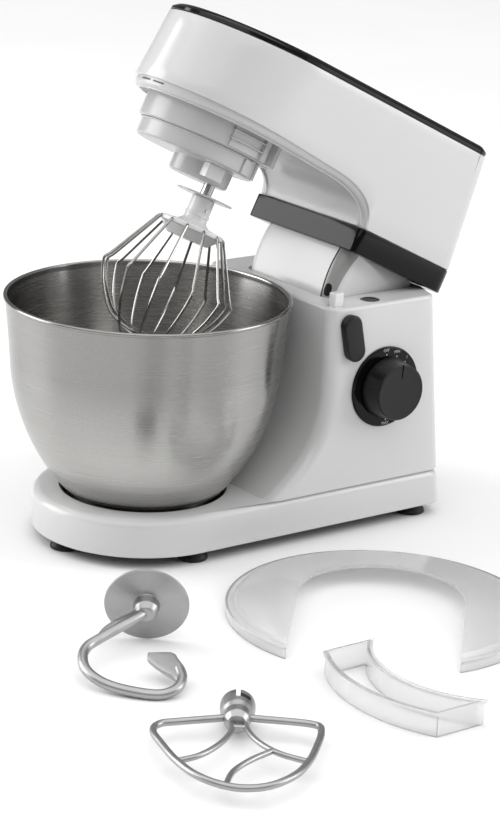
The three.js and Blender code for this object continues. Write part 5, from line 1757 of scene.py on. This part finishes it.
WHISK_FLANK = (
    (23.5, 156.5), (26.4, 156.3), (28.0, 154.8), (29.3, 152.3), (40.1, 132.7), (50.9, 113.2), (53.5, 109.6),
    (52.9, 105.0),
)
HUB_CORNERS = (
    (0, 146.5, 0), (17, 146.5, 1.6), (24.3, 153.9, 0.8), (26.7, 154.4, 0.9), (26.7, 158.0, 1.5), (13.4, 159.6, 3),
    (9.6, 162.5, 2.4), (9.4, 166, 0), (9.9, 166.4, 0.3), (9.9, 168.2, 0.3), (9.3, 168.6, 0), (9.2, 181.2, 0.8),
    (0, 181.2, 0),
)


@dataclass
class Whisk(SubAssembly):
    """The balloon whisk on the tool shaft."""

    stance: ClassVar[Stance] = Stance.HEAD
    loops: int = 6
    wire: float = 1.1
    lowest: float = 53.0
    pitch: float = 2.7
    knee: float = 110.0

    def loop(self, order: int) -> Array:
        """One loop of wire: out of the hub's rim, down a leg to the knee, in under the bottom and up again.

        Args:
            order: which loop, from the lowest.

        Returns:
            The tube's grid.
        """
        bottom = self.lowest + self.pitch * order
        fall = self.knee - bottom
        under = [(46.3, self.knee - fall * 0.45), (32.1, self.knee - fall * 0.83), (15.0, bottom + 1.6)]
        side = np.array([*WHISK_FLANK, *under])
        out, z = smooth_path(np.vstack([side, [(0, bottom)], (side * (-1, 1))[::-1]]), 7).T
        turn = math.pi * (order + 0.5) / self.loops
        x, y = tool_axis()
        return tube(np.column_stack([x + out * math.cos(turn), y + out * math.sin(turn), z]), self.wire, 10)

    def build(self) -> None:
        """Makes the disc, the hub and the wires."""
        f, centre, radius, low, high = self.finishes, tool_axis(), 22.9, 181.5, 182.7
        corners = [(0, low, 0), (radius, low, 0.5), (radius, high, 0.5), (0, high, 0)]
        self.dress(self.lathe("splash_disc", corners, centre, 72), f.satin, Body.TOOL, "drip_disc")
        # The hub wears the lighter white copy: painted light that matches its lit top.
        self.dress(self.lathe("whisk_hub_shell", HUB_CORNERS, centre, 72), f.bright, Body.TOOL, "whisk_hub")
        for order in range(self.loops):
            piece = self.mesh(f"wire_loop_{order + 1}", self.loop(order))
            self.dress(piece, f.wire, Body.TOOL, f"whisk_wire_{order + 1}")


# ---- controls


@dataclass
class Controls(SubAssembly):
    """The speed knob on its plate, and the release paddle, on the column's -Y side."""

    knob: Pair = (171.0, 120.0)
    wall: float = -86.8
    pointer: float = 2.4
    plate_top: float = 2.4
    letter: float = 3.4
    paddle_foot: Pair = (136.0, 155.1)
    paddle_reach: float = 21.6
    paddle_radius: float = 8.7
    paddle_lean: float = 12.0

    def facing(self, grid: Array) -> Array:
        """Turns a grid drawn about an upright axis so that it stands out of the side wall:
        (x, y, z) goes to (knob x + x, wall - z, knob z + y).

        Args:
            grid: an (..., 3) array.

        Returns:
            An (..., 3) array.
        """
        x, y, z = np.moveaxis(grid, -1, 0)
        return np.stack([self.knob[0] + x, self.wall - z, self.knob[1] + y], axis=-1)

    def plate(self) -> Piece:
        """The round plate behind the knob."""
        profile = rounded([(0, 0.2, 0), (33, 0.2, 0), (33, self.plate_top, 1.4), (0, self.plate_top, 0)])
        return self.mesh("dial_plate", self.facing(turned(profile, 120)))

    def cap(self) -> Piece:
        """The knob: a side that draws in towards the face, a crisp edge and a dished face with a notch.

        Returns:
            The piece.
        """
        profile = rounded([
            (0, 3.2, 0), (24.6, 3.2, 0.6), (25.1, 4.4, 0.8), (23.8, 11, 6), (22.9, 17, 5), (22.7, 20.8, 0.7),
            (21.9, 21.7, 0.7), (18, 21.4, 2), (0, 21.1, 0),
        ])
        piece = self.mesh("dial_cap", self.facing(turned(profile, 144)))
        narrow, wide, start, end, floor, above = 0.4, 0.85, 11.4, 25.5, 19.6, 24.0
        corners = np.array([(-narrow, start, 0), (narrow, start, 0), (wide, end, 0), (-wide, end, 0)])
        ring = swung(corners, -self.pointer)[:, :2]
        carve(piece, [self.mesh("cut_notch", self.facing(capped([ring, ring], (floor, above))))])
        return piece

    def dots(self) -> Piece:
        """The scale's dots, printed on the plate.

        Returns:
            The piece.
        """
        patch, radius, low, high = Patchwork(), 0.62, 2.2, 2.5
        profile = np.array([(0, low), (radius, low), (radius, high), (0, high)])
        for x, z in ((170.0, 146.9), (180.5, 144.2), (189.2, 138.4), (172.4, 92.6)):
            patch.grid(self.facing(turned(profile, 16, (x - self.knob[0], z - self.knob[1]))))
        return self.joined("dial_dots", patch)

    def paddle(self) -> Piece:
        """The release paddle: a stadium with a round edge, leaning forwards. Each ring's point is
        centre + (radius - inset) (cos t, sin t), with the lower centre for one half and the upper for the other.

        Returns:
            The piece.
        """
        lean = math.radians(self.paddle_lean)
        foot = np.array(self.paddle_foot)
        head = foot + self.paddle_reach * np.array([-math.sin(lean), math.cos(lean)])
        turn = np.linspace(0, math.pi, 17) + lean
        arc = np.column_stack([np.cos(turn), np.sin(turn)])
        centre, normal = np.repeat([foot, head], len(arc), axis=0), np.vstack([-arc, arc])
        steps = [(0.4, 0.6)] + fillet(2.0, 7.6)
        rings = [centre + normal * (self.paddle_radius - inset) for inset, _ in steps]
        x, z, out = np.moveaxis(capped(rings, [out for _, out in steps]), -1, 0)
        return self.mesh("release_paddle", np.stack([x, self.wall - out, z], axis=-1))

    def lettering(self, text: str, place: Pair, name: str) -> Piece:
        """Lettering printed on the plate round the knob.

        Args:
            text: what it says.
            place: its middle, x and z.
            name: the piece's name.

        Returns:
            The piece.
        """
        thick, proud = 0.06, 0.02
        curve = bpy.data.curves.new(name, "FONT")
        curve.body = text
        curve.size = self.letter
        curve.align_x, curve.align_y = "CENTER", "CENTER"
        curve.extrude = thick
        holder = linked(bpy.data.objects.new(name + "_text", curve))
        mesh = evaluated(holder)
        bpy.data.objects.remove(holder)
        x, y, out = mesh_points(mesh).astype(float).T
        spot = np.column_stack([place[0] + x, self.wall - self.plate_top - proud - out, place[1] + y])
        mesh.vertices.foreach_set("co", self.frame.place(spot, self.stance).astype(np.float32).ravel())
        tidy(mesh, LETTER_MERGE)
        return linked(bpy.data.objects.new(name, mesh))

    def build(self) -> None:
        """Makes the controls."""
        f = self.finishes
        self.dress(self.plate(), f.gloss_black, Body.BASE, "knob_plate")
        self.dress(self.cap(), f.black, Body.KNOB, "speed_knob")
        self.dress(self.dots(), f.print_white, Body.BASE)
        words = (("OFF", (169.6, 150.4)), ("MIN", (180.6, 148.0)), ("1", (191.0, 142.2)), ("MAX", (172.2, 89.6)))
        for order, (word, place) in enumerate(words):
            self.dress(self.lettering(word, place, f"scale_word_{order + 1}"), f.print_white, Body.BASE)
        self.dress(self.paddle(), f.black, Body.LEVER, "release_lever")


# ---- loose tools and guard

# The tools' lines, in shares of the tool's length and half width.
HOOK_ROD = (
    (0.2, 0.0), (0.26, -0.03), (0.3, -0.09), (0.411, -0.37), (0.526, -0.677), (0.61, -0.87), (0.7, -0.92),
    (0.82, -0.83), (0.925, -0.537), (0.986, -0.085), (1, 0.37), (0.947, 0.592), (0.86, 0.665), (0.77, 0.61),
)
HOOK_WEB = (
    ((0.27, 0), (0.27, -0.17), (0.31, -0.29), (0.37, -0.49), (0.45, -0.66), (0.53, -0.74)),
    ((0.27, 0), (0.4, -0.32), (0.56, -0.74)),
)
HOOK_TIP = (
    ((0.9, 0.66), (0.86, 0.745), (0.77, 0.7), (0.69, 0.58), (0.655, 0.535), (0.642, 0.46), (0.65, 0.3)),
    ((0.9, 0.6), (0.87, 0.56), (0.8, 0.34), (0.75, 0.2), (0.7, 0.1), (0.655, 0.1)),
)
BEATER_ROD = (
    (0.16, -0.08), (0.176, -0.19), (0.252, -0.76), (0.272, -0.88), (0.32, -0.965), (0.39, -0.97), (0.518, -0.865),
    (0.722, -0.66), (0.88, -0.415), (0.973, -0.13), (1, 0.115), (0.963, 0.4), (0.833, 0.685), (0.667, 0.847),
    (0.463, 0.95), (0.3, 1), (0.228, 0.98), (0.2, 0.87), (0.165, 0.24), (0.155, 0.08),
)
BEATER_RIBS = (
    ((0.2, -0.05), (0.352, -0.07), (0.518, -0.21), (0.648, -0.415), (0.722, -0.655)),
    ((0.2, 0.07), (0.37, 0.175), (0.49, 0.32), (0.584, 0.52), (0.663, 0.84)),
    ((0.55, 0.44), (0.667, 0.195), (0.815, -0.01), (0.985, -0.09)),
    ((0.285, -0.06), (0.285, 0.1)),
)


@dataclass
class Tools(SubAssembly):
    """The dough hook and the flat beater, lying on the table."""

    turn: float = -127.0
    radius: float = 12.0
    waist: float = 8.8
    bore: float = 5.0
    bore_depth: float = 20.0
    hook_place: Pair = (-112, -176)
    hook_size: Pair = (125.3, 44.0)
    hook_rod: float = 3.7
    hook_blade: float = 4.4
    disc_radius: float = 30.5
    disc_x: Pair = (23, 25)
    beater_place: Pair = (-148, -338)
    beater_size: Pair = (126.1, 55.6)
    beater_rod: float = 2.5
    beater_rib: float = 2.0
    beater_z: float = 12.0

    def laid(self, grid: Array, place: Pair) -> Array:
        """A grid drawn along X, turned about the upright axis and moved to its place."""
        return swung(grid, self.turn) + (*place, 0)

    def hook_laid(self, grid: Array) -> Array:
        """The hook's grid, leaned down towards its curve and laid in its place. The lean stands it on its disc
        and its rod: x' = x cos a + z sin a and z' = -x sin a + z cos a + lift.

        Args:
            grid: an (..., 3) array.

        Returns:
            An (..., 3) array.
        """
        clearance, lift_clearance = 0.2, 0.47
        near, far = self.disc_x
        lean = math.asin((self.disc_radius - self.hook_rod - clearance) / (self.hook_size[0] - near))
        cos, sin = math.cos(lean), math.sin(lean)
        lift = far * sin + self.disc_radius * cos + lift_clearance
        x, y, z = np.moveaxis(grid, -1, 0)
        return self.laid(np.stack([x * cos + z * sin, y, -x * sin + z * cos + lift], axis=-1), self.hook_place)

    def beater_laid(self, grid: Array) -> Array:
        """The beater's grid, laid in its place."""
        return self.laid(grid, self.beater_place)

    def socket(self, collar: Sequence[Triple], length: float, height: float) -> Array:
        """The tool's hub along X with its blind bore: the turned profile's height becomes x.

        Args:
            collar: corners of what stands out of the hub.
            length: the hub's.
            height: its axis above the tool's middle plane.

        Returns:
            The grid.
        """
        r, waist, bore = self.radius, self.waist, self.bore
        corners = [(0, self.bore_depth, 0), (bore, self.bore_depth, 0), (bore, 1.0, 0.6), (bore + 1.2, 0, 0.6)]
        corners += [(r, 0, 1.6), (r, 7, 1.5), (r - 1.2, 15, 4), *collar]
        corners += [(waist, length - 5, 2.5), (6.0, length, 1.6), (0, length, 0)]
        along, across, up = np.moveaxis(turned(rounded(corners, 4), 64)[..., [2, 0, 1]], -1, 0)
        return np.stack([along, across, up + height], axis=-1)

    def slot(self, height: float, shape: Layout) -> Piece:
        """The cutter for the slot the shaft's pin slides in, with its pocket to one side.

        Args:
            height: the hub's axis above the tool's middle plane.
            shape: lays the grid where the tool is.

        Returns:
            The cutter.
        """
        start, end, half, pocket_x, pocket_y, floor, above = -2, 10.4, 1.5, 6.4, 8.4, 3.5, 15
        outline = np.array([
            (start, -half), (end, -half), (end, pocket_y), (pocket_x, pocket_y), (pocket_x, half), (start, half),
        ])
        grid = loft([outline, outline], (height + floor, height + above))
        patch = Patchwork().grid(shape(grid))
        for level in grid:
            for face in (level[[0, 1, 4, 5]], level[[1, 2, 3, 4]]):
                patch.grid(shape(np.stack([face[[0, 1]], face[[3, 2]]])), wrap_v=False)
        return self.joined("cut_slot", patch)

    def hub(self, name: str, collar: Sequence[Triple], length: float, height: float, shape: Layout) -> Piece:
        """A tool's hub, with the pin's slot cut.

        Args:
            name: the piece's name.
            collar: corners of what stands out of the hub.
            length: the hub's.
            height: its axis above the tool's middle plane.
            shape: lays the grid where the tool is.

        Returns:
            The piece.
        """
        piece = self.mesh(name, shape(self.socket(collar, length, height)))
        carve(piece, [self.slot(height, shape)])
        return piece

    def rod(self, line: Sequence[Pair], size: Pair, z: float, radius: float, sides: int) -> Array:
        """A round rod along a line in shares of the tool's length and half width, at a height."""
        path = smooth_path(np.array(line) * size, 9)
        return tube(np.insert(path, 2, z, axis=1), radius, sides)

    def hook(self) -> Piece:
        """The dough hook's rod, which runs out and round to a flat tip, and the web beside it.

        Returns:
            The piece.
        """
        size = self.hook_size
        patch = Patchwork().grid(self.hook_laid(self.rod(HOOK_ROD, size, 0, self.hook_rod, 20)))
        for (left, right), steps in ((HOOK_WEB, 24), (HOOK_TIP, 40)):
            blade = ribbon(np.array(left) * size, np.array(right) * size, self.hook_blade, steps)
            patch.grid(self.hook_laid(blade))
        return self.joined("hook_rod", patch)

    def beater(self) -> Piece:
        """The flat beater's shield-shaped frame with its curved ribs.

        Returns:
            The piece.
        """
        patch = Patchwork()
        for line, radius in [(BEATER_ROD, self.beater_rod)] + [(rib, self.beater_rib) for rib in BEATER_RIBS]:
            rod = self.rod(line, self.beater_size, self.beater_z, radius, 18)
            patch.grid(self.beater_laid(rod))
        return self.joined("beater_frame", patch)

    def build(self) -> None:
        """Makes both tools."""
        metal, radius, (near, far) = self.finishes.aluminium, self.disc_radius, self.disc_x
        disc = [(9.8, near - 0.4, 0.6), (radius, near, 0.7), (radius, far, 0.7), (9.6, far + 0.2, 0.8)]
        self.dress(self.hub("hook_hub", disc, 37, 0, self.hook_laid), metal, Body.HOOK, "dough_hook")
        self.dress(self.hook(), metal, Body.HOOK)
        collar = [(self.waist + 0.5, 19, 3)]
        hub = self.hub("beater_hub", collar, 31, self.beater_z, self.beater_laid)
        self.dress(hub, metal, Body.BEATER, "flat_beater")
        self.dress(self.beater(), metal, Body.BEATER)


@dataclass
class Guard(SubAssembly):
    """The splash guard, a dished ring with a straight-sided opening, and the chute that fills it."""

    radius: float = 116.0
    inner: float = 62.0
    height: float = 16.0
    rim: float = 8.0
    wall: float = 2.2
    opening: float = 228.0
    guard_place: Pair = (55.0, -238.0)
    chute_place: Pair = (-50.0, -366.0)
    chute_middle: float = 102.0

    def ring(self) -> Piece:
        """The guard: each point of its section runs round from one side of the opening to the other.
        A point at radius r starts at asin(inner / r) past the opening's middle.

        Returns:
            The piece.
        """
        r, n, wall = self.radius, self.inner, self.wall
        upper = [
            (r, 0, 0), (r, self.rim, 1.2), (r - 6, self.rim + 0.5, 1.5), (r - 8.5, self.rim + 2.5, 2),
            (n + 5, self.height - 0.5, 1.6), (n, self.height, 0),
        ]
        under = [
            (x if x == n else x - wall, z if z == 0 else z - wall, max(0.3, c - 0.5) if c else 0)
            for x, z, c in upper[::-1]
        ]
        top, low = rounded(upper, 4), rounded(under, 4)
        radius, z = np.vstack([top, low]).T
        share = np.linspace(0, 1, 121)[:, None]
        start = np.arcsin(np.clip(n / radius, -1, 1))
        angle = math.radians(self.opening) + start + share * (FULL_TURN - 2 * start)
        x = self.guard_place[0] + radius * np.cos(angle)
        y = self.guard_place[1] + radius * np.sin(angle)
        grid = np.stack([x, y, np.broadcast_to(z, x.shape)], axis=-1)
        patch = Patchwork().grid(grid)
        half = len(top)
        for row in (grid[0], grid[-1]):
            patch.grid(np.stack([row[:half], row[half:][::-1]]), wrap_v=False)
        return self.joined("guard_shell", patch)

    def outline(self, grow: float) -> Array:
        """The chute's outline, a ring's segment between straight ends, anticlockwise from its outer arc.

        Args:
            grow: how far outside the walls' outer faces.

        Returns:
            An (n, 2) array.
        """
        outer, inner = self.radius + 2 + grow, self.radius - 30 - grow
        half = self.inner - 0.3 + min(grow, 0)
        arcs = []
        for radius, way in ((outer, 1), (inner, -1)):
            reach = math.asin(half / radius)
            turn = np.linspace(-reach, reach, 33)[::way]
            arcs.append(np.column_stack([radius * np.cos(turn) - self.chute_middle, radius * np.sin(turn)]))
        ends = [np.linspace(a[-1], b[0], 6)[1:-1] for a, b in (arcs, arcs[::-1])]
        return np.vstack([arcs[0], ends[0], arcs[1], ends[1]])

    def chute(self) -> Piece:
        """The chute: walls round an open middle, with a flange along the top of both curved walls.

        Returns:
            The piece.
        """
        steps = (
            (-2.4, 0.3), (-2.1, 0), (-0.3, 0), (0, 0.3), (0, 15.5), (0.15, 15.6), (1.7, 15.7), (2, 16), (2, 17.6),
            (1.6, 18), (-2.0, 18), (-2.4, 17.6),
        )
        grid = loft([self.outline(grow) for grow, _ in steps], [z for _, z in steps])
        return self.mesh("chute_shell", grid * (-1, -1, 1) + (*self.chute_place, 0), wrap_u=True)

    def build(self) -> None:
        """Makes the guard and the chute."""
        self.dress(self.ring(), self.finishes.clear, Body.GUARD, "splash_guard")
        self.dress(self.chute(), self.finishes.clear, Body.CHUTE, "pouring_chute")


# ---- studio


@dataclass
class Studio:
    """The pale floor, the soft lights and the camera, with its place in millimetres and its turns in degrees."""

    frame: Frame
    eye: Triple = (-1104.43, -1622.31, 724.76)
    azimuth: float = -36.67
    elevation: float = 17.66
    roll: float = 2.44
    lens: float = 112.76
    reach: float = 9000
    sky: float = 0.24

    def camera(self) -> None:
        """The camera, turned by azimuth and elevation and rolled about its own axis."""
        az, el, roll = (math.radians(v) for v in (self.azimuth, self.elevation, self.roll))
        back = Vector((math.sin(az) * math.cos(el), -math.cos(az) * math.cos(el), math.sin(el)))
        right = Vector((0, 0, 1)).cross(back).normalized()
        up = back.cross(right)
        x = right * math.cos(roll) + up * math.sin(roll)
        y = up * math.cos(roll) - right * math.sin(roll)
        data = bpy.data.cameras.new("camera")
        data.lens = self.lens
        data.sensor_width = 36
        data.clip_end = 50
        camera = linked(bpy.data.objects.new("camera", data))
        place = self.frame.place(np.array([self.eye]), Stance.TABLE)[0]
        camera.matrix_world = Matrix.Translation(Vector(place)) @ Matrix((x, y, back)).transposed().to_4x4()
        bpy.context.scene.camera = camera

    def light(self, name: str, place: Sequence[float], size: Pair, power: float) -> None:
        """An area light that faces the mixer.

        Args:
            name: the light's name.
            place: in metres from the bowl's axis.
            size: its width and height in metres.
            power: in watts.
        """
        data = bpy.data.lights.new(name, "AREA")
        data.shape = "RECTANGLE"
        data.size, data.size_y = size
        data.energy = power
        lamp = linked(bpy.data.objects.new(name, data))
        axis = Vector((*self.frame.bowl_axis, 0))
        target = axis + Vector((0.08, 0, 0.2))
        lamp.location = axis + Vector(place)
        lamp.rotation_euler = (target - lamp.location).to_track_quat("-Z", "Y").to_euler()

    def overhead(self, power: float, spread: float) -> None:
        """A wide soft light almost straight overhead.

        Args:
            power: on a level surface, in watts per square metre.
            spread: how wide the light looks, in degrees.
        """
        data = bpy.data.lights.new("overhead", "SUN")
        data.energy = power
        data.angle = math.radians(spread)
        lamp = linked(bpy.data.objects.new("overhead", data))
        lamp.rotation_euler = (math.radians(8), math.radians(-6), 0)

    def floor(self) -> None:
        """The table: a wide pale plane."""
        side = np.linspace(-self.reach, self.reach, 3)
        x, y = np.meshgrid(side, side, indexing="ij")
        patch = Patchwork().grid(np.stack([x, y, np.zeros_like(x)], axis=-1), wrap_v=False)
        floor = patch.build("floor", Stance.TABLE, self.frame)
        floor.data.materials.append(Tabletop().material())

    def build(self) -> None:
        """Sets the camera, floor, lights and sky."""
        self.camera()
        self.floor()
        self.light("left", (-1.55, 1.65, 0.9), (1.5, 1.7), 38)
        self.light("right", (2.1, -1.6, 1.0), (1.2, 1.6), 28)
        self.overhead(2.45, 100)
        world = bpy.data.worlds.new("sky")
        world.use_nodes = True
        background = world.node_tree.nodes["Background"]
        background.inputs["Color"].default_value = (1, 1, 1, 1)
        background.inputs["Strength"].default_value = self.sky
        bpy.context.scene.world = world
        bpy.context.scene.view_settings.view_transform = "Standard"


# ---- assembly


def dress_nodes(nodes: dict[str, Piece], f: Finishes) -> None:
    """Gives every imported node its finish.

    Args:
        nodes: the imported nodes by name.
        f: the finishes.
    """
    groups = (
        (f.shell, "base_housing head_housing"),
        (f.satin, "latch_block underside_cover hinge_skirt planetary_housing planet_carrier drip_disc whisk_hub"),
        (f.gloss_black, "head_band head_top_cover"),
        (f.black, "base_plate shelf_plug bowl_seat knob_plate speed_switch speed_knob release_lever"),
        (f.rubber, "foot_nose foot_front_right foot_front_left foot_rear_right foot_rear_left cord_inlet drive_belt"),
        (f.nylon, "control_board ring_gear carrier_pulley motor_fan planet_gear"),
        (f.steel, "hinge_pin shaft_bearing carrier_shaft motor_armature motor_pulley tool_shaft"),
        (f.bowl, "bowl bowl_foot"),
        (f.wire, " ".join(f"whisk_wire_{i}" for i in range(1, 7))),
        (f.aluminium, "dough_hook flat_beater"),
        (f.cast, "hinge_bracket_left hinge_bracket_right hinge_frame motor_bracket"),
        (f.iron, "motor_stator"),
        (f.clear, "splash_guard pouring_chute"),
    )
    for look, names in groups:
        for name in names.split():
            look.paint(nodes[name])


def main() -> None:
    """Builds the mixer's pieces in order."""
    logging.basicConfig(level=logging.INFO, format="%(name)s: %(message)s")
    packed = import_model()
    frame = Frame.from_pack()
    finishes = Finishes(frame)
    dress_nodes(packed["nodes"], finishes)
    Studio(frame).build()
    for kind in (Base, Bowl, Head, Skirt, Planetary, Whisk, Controls, Tools, Guard):
        kind(frame, finishes).build()
    bpy.context.view_layer.update()


if __name__ == "__main__":
    main()
